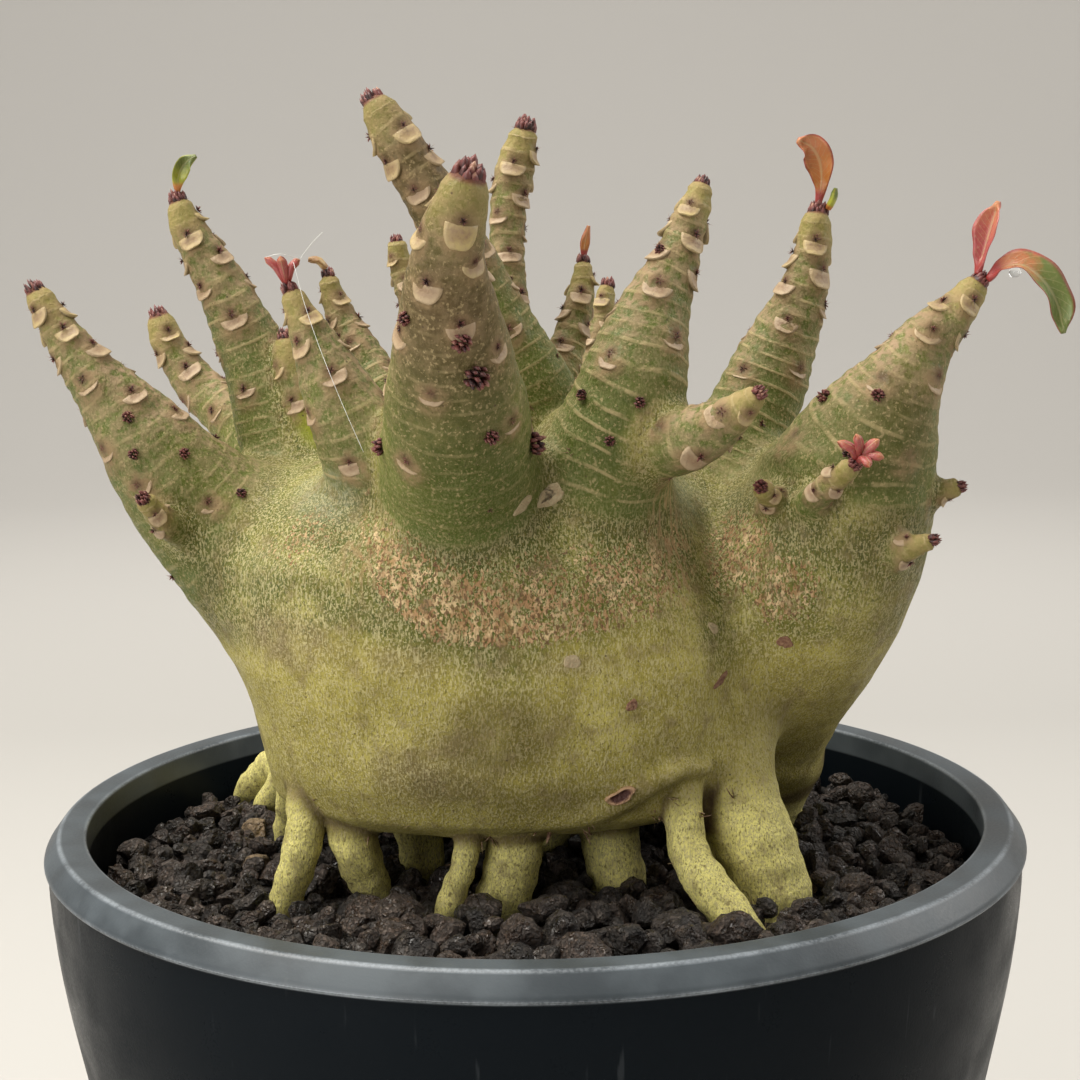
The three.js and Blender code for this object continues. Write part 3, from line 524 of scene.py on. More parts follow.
RING_PITCH = 3.0            # millimetres between the growth rings of a shoot
RING_HEIGHT = 0.17
FAINT_RINGS = {  # share of the full strength, on the shoots whose rings are faint
    "front_main": 0.3, "lime_shoot": 0.1, "tallest": 0.65, "far_right": 0.75, "far_left": 0.85,
}
ROOT_RING_PITCH = 4.6
ROOT_RING_HEIGHT = 0.12
CORK_HEIGHT = 0.22
EVENING = 0.6               # share of the way that each corner goes to the mean of its neighbours
LUMPS = [(0.42, 15, 21), (0.2, 6.5, 22), (0.09, 2.6, 23)]   # height, size and seed of the skin's lumps
CORK_EDGE = [  # x and height of the scalloped lower edge of the front cork patch
    (-28, 181), (-24.5, 176.3), (-17, 169.8), (-5.5, 168.3), (4.5, 169.3), (11.3, 170.6), (21.7, 172.5),
    (28, 176),
]
STAINS_AND_SHADE = {  # centre, reach along x, y and z, and strength of each broad patch of colour
    "cork": [
        ((37, -21, 180), (8, 14, 9), 0.85), ((43, -27, 175), (8, 10, 8), 0.85),
        ((-38, 32, 172), (12, 12, 7), 0.7), ((8, 42, 176), (18, 12, 8), 0.8),
        ((46, 24, 168), (9, 9, 8), 0.6), ((-40, -30, 186), (10, 8, 7), 0.35),
    ],
    "film": [
        ((-36, -27, 193), (9, 14, 6), 1.0), ((27, -14, 189), (7, 12, 7), 0.9),
        ((-46, -26, 179), (9, 9, 6), 0.3), ((-30, 30, 188), (12, 10, 6), 0.8),
        ((30, 28, 184), (12, 12, 6), 0.8),
    ],
    "brown": [
        # The first brown patch darkens the low front under the bulge of the trunk: part dirt, part painted
        # shade.
        ((-18, -40, 147), (14, 12, 7), 0.75), ((-42, -32, 169), (15, 12, 6), 0.9),
        ((-22, -40, 166), (10, 9, 3.5), 0.5), ((6, -40, 164.5), (8, 8, 2), 0.6),
        ((20, 38, 162), (22, 10, 6), 0.7), ((-50, 10, 170), (8, 14, 6), 0.6),
    ],
    "streaky": [
        ((25, -29, 184), (6, 12, 15), 1.0), ((-28, -37, 184), (6, 10, 10), 0.6),
        ((10, 42, 172), (9, 10, 12), 0.6),
    ],
    "deep": [
        ((-34, -28, 189), (13, 14, 7), 0.6), ((64, -16, 182), (16, 18, 14), 0.8),
        ((-58, -14, 180), (8, 12, 12), 0.6), ((-8, -42, 186), (20, 12, 7), 0.7),
        ((20, -34, 187), (15, 11, 8), 0.7), ((0, 40, 190), (40, 14, 10), 0.6),
    ],
    # The shade patches are painted shade, on the shoots and the low front of the trunk that turn away from
    # the light.
    "shade": [
        ((-12, -56, 220), (14, 21, 39), 1.0), ((6, -44, 141), (34, 14, 7), 0.5),
        ((-17, -16, 242), (14, 10, 26), 0.9), ((62, -30, 202), (12, 13, 17), 0.85),
        ((15, -36, 204), (9, 8, 14), 0.5), ((-6, -41, 153), (14, 14, 9), 0.9),
        ((-14, -40, 144), (10, 12, 4), 0.8), ((12, 38, 150), (18, 12, 10), 0.6),
    ],
}

axes, field = grid_field()
skin, skin_faces = skin_of(axes, field)
skin = relaxed(skin, skin_faces, EVENING)
trunk_gap = trunk_distance(skin[:, 0], skin[:, 1], skin[:, 2])
shoot_gap, rival_gap, root_gap = np.full((3, len(skin)), FAR)
tip_length, tip_share, tip_cap, lime, root_length = np.zeros((5, len(skin)))
ring_share = np.ones(len(skin))
for kind, name, line, join in grown_parts():
    if kind == "fold":
        continue
    low = line[:, :3].min(0) - line[:, 3].max() - 8
    high = line[:, :3].max(0) + line[:, 3].max() + 8
    inside = np.nonzero(np.all((skin > low) & (skin < high), axis=1))[0]
    gap, from_tip = follow(skin[inside], line)
    full_length = np.linalg.norm(np.diff(line[:, :3], axis=0), axis=1).sum()
    if kind == "root":
        nearer = gap < root_gap[inside]
        root_gap[inside[nearer]] = gap[nearer]
        root_length[inside[nearer]] = from_tip[nearer]
        continue
    nearer = gap < shoot_gap[inside]
    rival_gap[inside] = np.minimum(rival_gap[inside], np.where(nearer, shoot_gap[inside], gap))
    shoot_gap[inside[nearer]] = gap[nearer]
    tip_length[inside[nearer]] = from_tip[nearer]
    tip_share[inside[nearer]] = 1 - from_tip[nearer] / full_length
    ring_share[inside[nearer]] = FAINT_RINGS.get(name, 1.0)
    tip_cap[inside[nearer]] = np.maximum(-from_tip[nearer], 0) / line[-1, 3]
    lime[inside[nearer]] = rise(from_tip[nearer], 7, 14) if name == "lime_shoot" else 0
on_shoot = rise(np.minimum(trunk_gap, rival_gap) - shoot_gap, 0.3, 3.5) * rise(trunk_gap, -1.5, 2.5)
above_roots = np.minimum(trunk_gap, shoot_gap)
on_root = rise(above_roots - root_gap, 0.2, 2.5) * (1 - 0.85 * rise(skin[:, 2], 134, 143))
root_fold = rise(np.maximum(trunk_gap, root_gap), 0.0, 0.1)
root_fold = root_fold * (1 - rise(np.abs(trunk_gap - root_gap), 0.15, 1.7))
# Painted shade in the creases where the roots leave the trunk; the roots as a whole are also laid a little
# darker.
crease_shade = np.where(root_gap < 6, root_fold, 0) * (1 - rise(skin[:, 2], 139, 143))
crease_shade = crease_shade + 0.3 * rise(above_roots, 0.5, 1.8)
ring_phase = tip_length / RING_PITCH + 0.34 * lattice_noise(skin, 9, 11) + 0.06 * lattice_noise(skin, 3.2, 12)
ring_strength = ring_share * on_shoot * rise(tip_share, 0.1, 0.35) * (0.6 + 0.4 * lattice_noise(skin, 14, 13))
ring_wave = np.cos(2 * math.pi * ring_phase)
root_wave = np.cos(2 * math.pi * (root_length / ROOT_RING_PITCH + 0.4 * lattice_noise(skin, 5, 14)))
skin_x = skin[:, 0]
over_edge = skin[:, 2] - np.interp(skin_x, *np.array(CORK_EDGE).T)
front_cork = rise(over_edge, -0.7, 0.6) * (1 - rise(over_edge, 6, 17)) * rise(-skin[:, 1], 12, 26)
front_cork *= rise(skin_x, -30, -24) * (1 - rise(skin_x, 20, 32)) * (1.05 - 0.02 * np.maximum(skin_x, 0))
stain_and_shade_values = {}
for stain, patches in STAINS_AND_SHADE.items():
    total = np.zeros(len(skin))
    for centre, reach, strength in patches:
        away = np.linalg.norm((skin - centre) / reach, axis=1)
        total = np.maximum(total, strength * (1 - rise(away, 0.35, 1.15)))
    stain_and_shade_values[stain] = total
stain_and_shade_values["cork"] = np.maximum(stain_and_shade_values["cork"], front_cork)
lumps = sum(lump_height * lattice_noise(skin, size, seed) for lump_height, size, seed in LUMPS)
height = lumps * (1 - 0.65 * on_shoot) * (1 - 0.5 * on_root)
height += RING_HEIGHT * ring_strength * np.sign(ring_wave) * np.abs(ring_wave) ** 0.8
height += (
    ROOT_RING_HEIGHT * on_root * root_wave
    + 0.3 * on_root * lattice_noise(skin, 3.1, 24)
    + 0.14 * on_root * lattice_noise(skin, 1.7, 26)
)
height += CORK_HEIGHT * front_cork
height += 0.3 * on_shoot * lattice_noise(skin, 4.4, 25) * rise(tip_share, 0.2, 0.6)
skin_normals = face_normals_at_corners(skin, skin_faces)
skin = skin + skin_normals * height[:, None]
caudex = surface_piece("caudex_skin", skin, skin_faces)
for attribute, values in {
    "shoot": on_shoot, "root": on_root, "crease_shade": crease_shade, "ring": ring_phase, "ringed": ring_strength,
    "tip_length": tip_length, "tip_share": tip_share * on_shoot, "tip_cap": tip_cap,
    "lime": lime * on_shoot, **stain_and_shade_values,
}.items():
    set_attribute(caudex, attribute, values)


# Shared finishes. Every size that goes into these groups is in millimetres.
MM_PER_METRE = 1000.0


def new_group(name, inputs, output):
    """A shader group with named inputs and one number out of it, and its two end nodes."""
    group = bpy.data.node_groups.new(name, "ShaderNodeTree")
    for label, kind, value in inputs:
        socket = group.interface.new_socket(name=label, in_out="INPUT", socket_type="NodeSocket" + kind)
        if value is not None:
            socket.default_value = value
    group.interface.new_socket(name=output, in_out="OUTPUT", socket_type="NodeSocketFloat")
    return group, group.nodes.new("NodeGroupInput"), group.nodes.new("NodeGroupOutput")


def put(tree, kind, settings=None, **inputs):
    """A new node with its settings, and its inputs by name, or by number as i0; sockets are linked."""
    node = tree.nodes.new(kind)
    for key, value in (settings or {}).items():
        setattr(node, key, value)
    for label, value in inputs.items():
        by_number = label[0] == "i" and label[1:].isdigit()
        socket = node.inputs[int(label[1:]) if by_number else label]
        if isinstance(value, bpy.types.NodeSocket):
            tree.links.new(value, socket)
        else:
            socket.default_value = value
    return node


def count(tree, operation, first, second=0.0, third=0.0):
    """The result of one sum on numbers or sockets."""
    node = put(tree, "ShaderNodeMath", {"operation": operation}, i0=first, i1=second, i2=third)
    return node.outputs[0]


def smooth_step(tree, value, low, high):
    node = put(tree, "ShaderNodeMapRange", {"interpolation_type": "SMOOTHSTEP"}, i0=value, i1=low, i2=high)
    return node.outputs[0]


mottle, mottle_in, mottle_out = new_group(
    "mottle",
    [("Place", "Vector", None), ("Size", "Float", 5.0), ("Detail", "Float", 3.0), ("Shift", "Float", 0.0),
     ("Low", "Float", 0.4), ("High", "Float", 0.6)],
    "Mask",
)
mottle_scale = count(mottle, "DIVIDE", MM_PER_METRE, mottle_in.outputs["Size"])
mottle_noise = put(
    mottle, "ShaderNodeTexNoise", {"noise_dimensions": "4D"}, Vector=mottle_in.outputs["Place"],
    W=mottle_in.outputs["Shift"], Scale=mottle_scale, Detail=mottle_in.outputs["Detail"])
mottle.links.new(
    smooth_step(mottle, mottle_noise.outputs["Fac"], mottle_in.outputs["Low"], mottle_in.outputs["High"]),
    mottle_out.inputs["Mask"],
)

strokes, strokes_in, strokes_out = new_group(
    "upright_strokes",
    [("Place", "Vector", None), ("Width", "Float", 0.4), ("Length", "Float", 2.0), ("Shift", "Float", 0.0),
     ("Low", "Float", 0.5), ("High", "Float", 0.6)],
    "Mask",
)
stroke_width = count(strokes, "DIVIDE", MM_PER_METRE, strokes_in.outputs["Width"])
stroke_length = count(strokes, "DIVIDE", MM_PER_METRE, strokes_in.outputs["Length"])
stroke_scale = put(strokes, "ShaderNodeCombineXYZ", X=stroke_width, Y=stroke_width, Z=stroke_length)
stroke_place = put(strokes, "ShaderNodeVectorMath", {"operation": "MULTIPLY"}, i0=strokes_in.outputs["Place"],
                   i1=stroke_scale.outputs[0])
stroke_noise = put(strokes, "ShaderNodeTexNoise", {"noise_dimensions": "4D"}, Vector=stroke_place.outputs[0],
                   W=strokes_in.outputs["Shift"], Scale=1.0, Detail=2.0)
strokes.links.new(
    smooth_step(strokes, stroke_noise.outputs["Fac"], strokes_in.outputs["Low"], strokes_in.outputs["High"]),
    strokes_out.inputs["Mask"],
)

specks, specks_in, specks_out = new_group(
    "specks",
    [("Place", "Vector", None), ("Spacing", "Float", 2.0), ("Width", "Float", 0.5), ("Share", "Float", 0.3)],
    "Mask",
)
speck_scale = count(specks, "DIVIDE", MM_PER_METRE, specks_in.outputs["Spacing"])
speck_cells = put(specks, "ShaderNodeTexVoronoi", Vector=specks_in.outputs["Place"], Scale=speck_scale)
speck_draw = put(specks, "ShaderNodeSeparateColor", Color=speck_cells.outputs["Color"])
speck_kept = count(specks, "LESS_THAN", speck_draw.outputs[0], specks_in.outputs["Share"])
speck_pair = count(specks, "MULTIPLY", specks_in.outputs["Spacing"], 2.0)
speck_radius = count(specks, "DIVIDE", specks_in.outputs["Width"], speck_pair)
speck_core = count(specks, "MULTIPLY", speck_radius, 0.5)
speck_spot = smooth_step(specks, speck_cells.outputs["Distance"], speck_radius, speck_core)
specks.links.new(count(specks, "MULTIPLY", speck_spot, speck_kept), specks_out.inputs["Mask"])


class Finish:
    """A material in the making: its shader, and the colour that is laid on it so far.

    In its sums and masks, a name stands for the attribute of that name on the piece.
    """

    def __init__(self, name, roughness, specular=0.5, ground=None):
        self.material = bpy.data.materials.new(name)
        self.material.use_nodes = True
        self.tree = self.material.node_tree
        self.shader = self.tree.nodes["Principled BSDF"]
        self.shader.inputs["Roughness"].default_value = roughness
        self.shader.inputs["Specular IOR Level"].default_value = specular
        self.place = put(self.tree, "ShaderNodeTexCoord").outputs["Object"]
        self.colour = ground

    def value(self, source):
        if isinstance(source, str):
            return put(self.tree, "ShaderNodeAttribute", {"attribute_name": source}).outputs["Fac"]
        return source

    def count(self, operation, *values):
        return count(self.tree, operation, *[self.value(value) for value in values])

    def product(self, *values):
        total = self.value(values[0])
        for value in values[1:]:
            total = self.count("MULTIPLY", total, value)
        return total

    def scaled(self, value, factor, start):
        """A start, and a value times a factor on top of it."""
        return self.count("MULTIPLY_ADD", value, factor, start)

    def step(self, value, low, high):
        return smooth_step(self.tree, self.value(value), low, high)

    def height(self):
        """The height of each point on the object, in millimetres."""
        return self.product(put(self.tree, "ShaderNodeSeparateXYZ", i0=self.place).outputs["Z"], MM_PER_METRE)

    def use(self, group, **inputs):
        """The mask of a shared finish that is placed here with its own values."""
        return put(self.tree, "ShaderNodeGroup", {"node_tree": group}, Place=self.place, **inputs).outputs[0]

    def mixed(self, under, over, *masks):
        """A colour with another one laid over it where the masks' product is."""
        mask = self.product(*masks)
        return put(self.tree, "ShaderNodeMix", {"data_type": "RGBA"}, i0=mask, i6=under, i7=over).outputs[2]

    def lay(self, over, *masks):
        self.colour = self.mixed(self.colour, over, *masks)

    def link(self, label, value):
        self.tree.links.new(value, self.shader.inputs[label])

    def bump(self, height, strength, distance):
        """Raises the surface by a height; the distance is in millimetres."""
        node = put(self.tree, "ShaderNodeBump", Height=height, Strength=strength, Distance=distance * MM)
        self.link("Normal", node.outputs[0])

    def give_to(self, *pieces):
        """Links the colour, and puts the material on the pieces."""
        if self.colour is not None:
            self.link("Base Color", self.colour)
        for piece in pieces:
            piece.data.materials.append(self.material)


OLIVE = (0.395, 0.34, 0.08, 1)
OLIVE_DEEP = (0.165, 0.135, 0.029, 1)
OLIVE_DARK = (0.085, 0.066, 0.018, 1)
LIME = (0.78, 0.69, 0.21, 1)
ROOT_YELLOW = (1.0, 0.92, 0.31, 1)
LEAF_GREEN = (0.135, 0.14, 0.028, 1)
SHOOT_GREEN = (0.088, 0.115, 0.022, 1)
DEEP_GREEN = (0.058, 0.076, 0.016, 1)
FIBRE = (0.56, 0.49, 0.26, 1)
CREAM = (0.46, 0.36, 0.185, 1)
TAN = (0.46, 0.295, 0.16, 1)
PINK_TAN = (0.41, 0.24, 0.118, 1)
CORK_PALE = (0.70, 0.52, 0.29, 1)
CORK_GAP = (0.15, 0.085, 0.04, 1)
HALO_TAN = (0.29, 0.20, 0.105, 1)
SHADE_BROWN = (0.10, 0.055, 0.03, 1)
AXIL_BROWN = (0.085, 0.038, 0.026, 1)
MAUVE_TAN = (0.35, 0.245, 0.15, 1)
GREY_BROWN = (0.22, 0.165, 0.085, 1)
WAX = (0.35, 0.36, 0.25, 1)
DIRT_AND_SHADE = (0.09, 0.06, 0.035, 1)
MAROON = (0.13, 0.035, 0.03, 1)
NECK_YELLOW = (0.33, 0.26, 0.085, 1)
FRESH_LIME = (0.36, 0.40, 0.035, 1)

bark = Finish("desert_rose_skin", 0.5, 0.16, OLIVE)
height_mm = bark.height()
broad = bark.use(mottle, Size=26.0, Low=0.3, High=0.7)
middling = bark.use(mottle, Size=5.0, Detail=4.0, Shift=3.0, Low=0.35, High=0.68)
fine = bark.use(mottle, Size=0.75, Shift=7.0, Low=0.35, High=0.7)
green_share = bark.step(bark.scaled(broad, 12.0, height_mm), 168.0, 181.0)
off_shoot = bark.count("SUBTRACT", 1.0, "shoot")

# The ground: olive low down, green in the crown, yellow on the roots.
bark.lay(OLIVE_DEEP, middling, 0.35)
bark.lay(LEAF_GREEN, green_share, 0.92)
bark.lay(DEEP_GREEN, green_share, broad, 0.6)
# Painted shade where the shade patches lie.
bark.lay(OLIVE_DEEP, "shade", 0.9)
bark.lay(ROOT_YELLOW, "root")
lime_patch = bark.use(mottle, Size=9.0, Shift=5.0, Low=0.45, High=0.8)
bark.lay(LIME, lime_patch, 0.45)
bark.lay(DEEP_GREEN, "deep", bark.scaled(middling, 0.25, 0.6))
bark.lay(GREY_BROWN, "brown", bark.scaled(middling, 0.5, 0.5))
bark.lay(SHOOT_GREEN, "shoot", bark.scaled(broad, 0.35, 0.6))

# The upright fibres of the skin, with painted shadow in the gaps between them, and its torn and waxy patches.
fibre = bark.use(strokes, Width=0.32, Length=1.0, Low=0.5, High=0.6)
short_fibre = bark.use(strokes, Width=0.38, Length=0.4, Shift=4.0, Low=0.53, High=0.62)
fibre_mask = bark.product(bark.count("MAXIMUM", fibre, short_fibre), bark.scaled(off_shoot, 0.5, 0.15))
# Painted shadow in the gaps beside the raised fibres.
fibre_shadow = bark.use(strokes, Width=0.4, Length=0.9, Shift=27.0, Low=0.5, High=0.6)
bark.lay(DEEP_GREEN, fibre_shadow, off_shoot, bark.scaled(green_share, 0.65, 0.14))
bark.lay(FIBRE, fibre_mask)
torn = bark.use(strokes, Width=0.8, Length=6.0, Shift=17.0, Low=0.48, High=0.6)
bark.lay(TAN, torn, "streaky", 0.8)
# More painted shade on the trunk under the shade patches.
bark.lay(OLIVE_DARK, "shade", off_shoot, 0.5)
bark.lay(WAX, "film", bark.scaled(fine, 0.35, 0.15))
fleck = bark.use(mottle, Size=0.55, Detail=2.0, Shift=9.0, Low=0.56, High=0.66)
bark.lay(CREAM, fleck, "shoot", 0.5)

# The crust of the shoots, most of it on their upper sides and near their tips, and their rings.
outward = put(bark.tree, "ShaderNodeNewGeometry").outputs["Normal"]
facing = put(bark.tree, "ShaderNodeSeparateXYZ", i0=outward).outputs["Z"]
weathered = bark.product("shoot", bark.scaled(bark.step(facing, 0.25, 0.85), 0.6, 0.05))
weathered = bark.scaled(bark.step("tip_share", 0.4, 0.75), 0.6, weathered)
crust = bark.use(mottle, Size=1.4, Detail=6.0, Shift=2.0, Low=0.36, High=0.62)
bark.lay(MAUVE_TAN, crust, weathered, 0.85)
# Painted shade on the shoots under the shade patches, green low down and brown towards the tips.
shadow_tone = bark.mixed(DEEP_GREEN, SHADE_BROWN, bark.step("tip_share", 0.45, 0.8))
bark.lay(shadow_tone, "shade", "shoot", 0.8, bark.scaled(crust, -0.35, 1.0))
bark.lay(CREAM, fleck, "shade", 0.45)
bark.lay(NECK_YELLOW, bark.step("tip_length", 8.0, 2.5), "shoot", bark.scaled("shade", -0.58, 0.6))
bark.lay(FRESH_LIME, "lime", 0.85)
ring_line = bark.step(bark.count("COSINE", bark.product("ring", 2 * math.pi)), 0.68, 1.0)
ring_break = bark.use(mottle, Size=3.0, Detail=4.0, Shift=6.0, Low=0.36, High=0.58)
ring_mask = bark.product(ring_line, ring_break, "ringed", 0.95)
bark.lay(CREAM, ring_mask)

# The cork, broken into small plates with dark gaps between them.
cork_plate = bark.use(strokes, Width=0.6, Length=0.9, Shift=8.0, Low=0.3, High=0.7)
cork_clump = bark.use(mottle, Size=4.5, Detail=2.0, Shift=15.0, Low=0.3, High=0.7)
cork_level = bark.scaled(cork_clump, 0.22, bark.scaled("cork", 0.62, cork_plate))
cork_mask = bark.product(bark.step(cork_level, 1.02, 1.2), bark.step("cork", 0.02, 0.15))
cork_blush = bark.use(mottle, Size=2.2, Detail=4.0, Shift=1.0, Low=0.36, High=0.6)
bark.lay(bark.mixed(CORK_PALE, PINK_TAN, cork_blush), cork_mask)
cork_gap = bark.use(strokes, Width=0.6, Length=0.9, Shift=31.0, Low=0.5, High=0.6)
bark.lay(CORK_GAP, cork_gap, cork_mask, 0.92)

# The tan ring and the dark axil at each leaf scar, then painted shade in the root creases, soil, stains,
# painted shadow in small pits and the red tips.
bark.lay(HALO_TAN, "halo", bark.scaled(crust, 0.6, 0.25))
bark.lay(AXIL_BROWN, "axil", 0.85)
# Painted shade in the creases where the roots leave the trunk.
bark.lay(DIRT_AND_SHADE, "crease_shade", 0.85)
soil_dust = bark.use(mottle, Size=1.1, Detail=5.0, Shift=12.0, Low=0.58, High=0.7)
bark.lay(DIRT_AND_SHADE, soil_dust, bark.step(height_mm, 150.0, 118.0), 0.75)
stain = bark.use(mottle, Size=4.0, Detail=7.0, Shift=21.0, Low=0.5, High=0.72)
bark.lay(GREY_BROWN, stain, off_shoot, 0.55)
bark.lay(DIRT_AND_SHADE, bark.use(specks, Spacing=2.8, Width=0.5, Share=0.35), 0.8)
bark.lay(DIRT_AND_SHADE, bark.use(specks, Spacing=0.95, Width=0.32, Share=0.35), 0.6)
# Painted shadow in small pits of the skin.
pit_shadow = bark.use(strokes, Width=0.3, Length=0.7, Shift=12.0, Low=0.54, High=0.68)
bark.lay(OLIVE_DEEP, pit_shadow, off_shoot, 0.75)
streak = bark.use(strokes, Width=2.5, Length=13.0, Shift=14.0, Low=0.5, High=0.72)
bark.lay(OLIVE_DEEP, streak, off_shoot, 0.3)
bark.lay(MAROON, bark.step("tip_cap", 0.5, 0.72), 0.85)
relief = bark.scaled(cork_mask, 0.5, bark.product(fine, 0.25))
for raised, depth in ((fibre_mask, 0.25), (ring_mask, 0.35), ("halo", 1.3), ("axil", -0.9)):
    relief = bark.scaled(raised, depth, relief)
relief = bark.scaled(bark.product(crust, weathered), 0.3, relief)
bark.bump(relief, 0.85, 0.35)
bark.link("Roughness", bark.scaled(bark.count("MAXIMUM", cork_mask, crust), 0.3, 0.42))
bark.give_to(caudex)
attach(caudex, "root")
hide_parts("caudex")


# ---------------------------------------------------------------- leaf scars
# Each fallen leaf leaves a pale half-moon shelf of cork on the shoot, and a small dark bud above
# it. They climb every shoot in a spiral, yellow and crowded near the tip, worn lower down, until
# only the old buds are left. They grew with the skin.
SCAR_FIRST = {"shoot": 1.5, "stub": 1.4}    # millimetres from a tip to its first scar
SCARS_TO = {"shoot": 0.6, "stub": 0.5}      # share of the length that still shows its scars
SCAR_STEP = {"shoot": 1.6, "stub": 1.2}
SCAR_WIDEST = 2.9           # half of a scar's width
SCAR_LIP = 1.05             # how far the lower edge of a scar stands out
FULL_RADIUS = 2.6           # on thinner shoots the lips are lower
OLD_BUD_STEP = 2.6
OLD_BUDS_TO = 0.85
OPEN_SCALES = 7
TIP_SCALES = 22
TIP_HAIRS = 44
BUD_SINK = 0.1              # how deep an open bud sits in the skin
EDGE_SINK = 0.4             # how deep a scar's edge goes into the skin
STATION_REACH = 1.5         # a shoot's direction is taken over this length on either side
GOLDEN_TURN = math.pi * (3 - math.sqrt(5))
ACROSS = np.array([-1, -0.9, -0.7, -0.4, 0, 0.4, 0.7, 0.9, 1.0])
DOWN = np.array([0, 0.12, 0.35, 0.58, 0.74, 0.86, 0.94, 1.0])


def unit(rows):
    return rows / np.linalg.norm(rows, axis=-1, keepdims=True)


def cross_ways(direction, hint):
    """Two directions that are square to the given one and to each other."""
    side = unit(np.cross(direction, hint))
    return side, np.cross(direction, side)


def station(line, from_tip):
    """Centre, radius, direction to the tip and two cross directions, at lengths from the tip."""
    lengths = np.linalg.norm(np.diff(line[:, :3], axis=0), axis=1)
    to_tip = np.concatenate([[0], np.cumsum(lengths[::-1])])
    backward = line[::-1]
    from_tip = np.atleast_1d(from_tip)
    centre, ahead, behind = (
        np.stack([np.interp(from_tip + onward, to_tip, backward[:, axis]) for axis in range(3)], axis=-1)
        for onward in (0, -STATION_REACH, STATION_REACH)
    )
    toward = unit(ahead - behind)
    return centre, np.interp(from_tip, to_tip, backward[:, 3]), toward, *cross_ways(toward, (0.25, 0.93, 0.2))


def on_side(line, from_tip, turn):
    """A point on the skin of a shoot, and the direction straight out of it."""
    centre, radius, toward, across, other = station(line, from_tip)
    outward = across[0] * math.cos(turn) + other[0] * math.sin(turn)
    return centre[0] + outward * radius[0], outward, toward[0]


def scar_patch(line, from_tip, turn, half_width, length, lip):
    """Corners, faces and two values of one half-moon shelf that lies on the skin of a shoot."""
    across_grid, down_grid = np.meshgrid(ACROSS, DOWN, indexing="ij")
    narrow = np.sqrt(1 - 0.985 * down_grid**2.4)
    centre, radius, toward, across, other = station(line, (from_tip + down_grid * length).ravel())
    angle = turn + (across_grid * narrow).ravel() * half_width / radius
    outward = across * np.cos(angle)[:, None] + other * np.sin(angle)[:, None]
    edge = (np.abs(across_grid) > 0.99) | (down_grid < 0.01) | (down_grid > 0.99)
    rim = np.maximum(rise(np.abs(across_grid), 0.45, 0.85), rise(down_grid, 0.5, 0.82))
    lift = -0.06 + lip * down_grid**1.25 * (0.42 + 0.58 * rim)
    lift = np.where(edge, -EDGE_SINK, lift)
    dish = (1 - rim) * rise(down_grid, 0.02, 0.3)
    corners = centre + outward * (radius + lift.ravel())[:, None]
    rows, columns = across_grid.shape
    index = np.arange(rows * columns).reshape(rows, columns)
    quads = np.stack([index[:-1, :-1], index[:-1, 1:], index[1:, 1:], index[1:, :-1]], axis=-1).reshape(-1, 4)
    under = np.concatenate([index[0], index[1:, -1], index[-1, -2::-1], index[-2:0:-1, 0]])
    values = np.stack([dish.ravel(), edge.ravel().astype(float)], axis=1)
    return corners, (quads[:, ::-1], under[None]), values


def many_as_one(name, parts, *labels, smooth=True):
    """One object from many small parts, with an attribute for each column of their values."""
    corners = []
    values = []
    groups = {}
    total = 0
    for part_corners, part_faces, part_values in parts:
        for faces in part_faces:
            groups.setdefault(faces.shape[1], []).append(faces + total)
        corners.append(part_corners)
        values.append(part_values)
        total += len(part_corners)
    face_groups = [np.vstack(group) for group in groups.values()]
    piece = surface_piece(name, np.vstack(corners), *face_groups, smooth=smooth)
    for label, column in zip(labels, np.vstack(values).T):
        set_attribute(piece, label, column)
    return piece


HAIR_RADIUS = 0.035
SPINE_TAPER = ((-0.25, 1.0), (0.3, 0.95), (0.7, 0.6))   # share of the length, and of the thickness there


def spine(foot, toward, length, thick, droop, flat=1.0, tone=(0.0, 1.0)):
    """A pointed scale, or a thin hair, that bends away as it leaves its foot."""
    toward = unit(np.asarray(toward, dtype=float))
    side, other = cross_ways(toward, (0.31, 0.52, 0.79))
    corner_turn = np.arange(4) * math.pi / 2
    rings = []
    for share, wide in SPINE_TAPER:
        middle = foot + toward * length * share + droop * max(share, 0) ** 2
        rings.append(middle + thick * wide * (np.cos(corner_turn)[:, None] * side
                                              + flat * np.sin(corner_turn)[:, None] * other))
    corners = np.vstack(rings + [foot + toward * length + droop])
    here = np.arange(4)
    quads = np.vstack([ring_faces(3, 4), here[::-1]])
    point = np.stack([8 + here, 8 + (here + 1) % 4, np.full(4, 12)], axis=1)
    values = np.interp([0] * 4 + [0.3] * 4 + [0.7] * 4 + [1], (0, 1), tone)[:, None]
    return corners, (quads, point), values


def round_a_bud(outward, scales, hairs, lean, draw):
    """For each scale and then each hair of a bud: if it is a scale, its tilt, and its way out."""
    side, other = cross_ways(outward, (0.4, 0.3, 0.86))
    for order in range(scales + hairs):
        turn = order * GOLDEN_TURN + draw.uniform(-0.3, 0.3)
        tilt = lean[0] + (lean[1] - lean[0]) * math.sqrt((order % scales + 0.5) / scales)
        yield order < scales, tilt, math.cos(turn) * side + math.sin(turn) * other


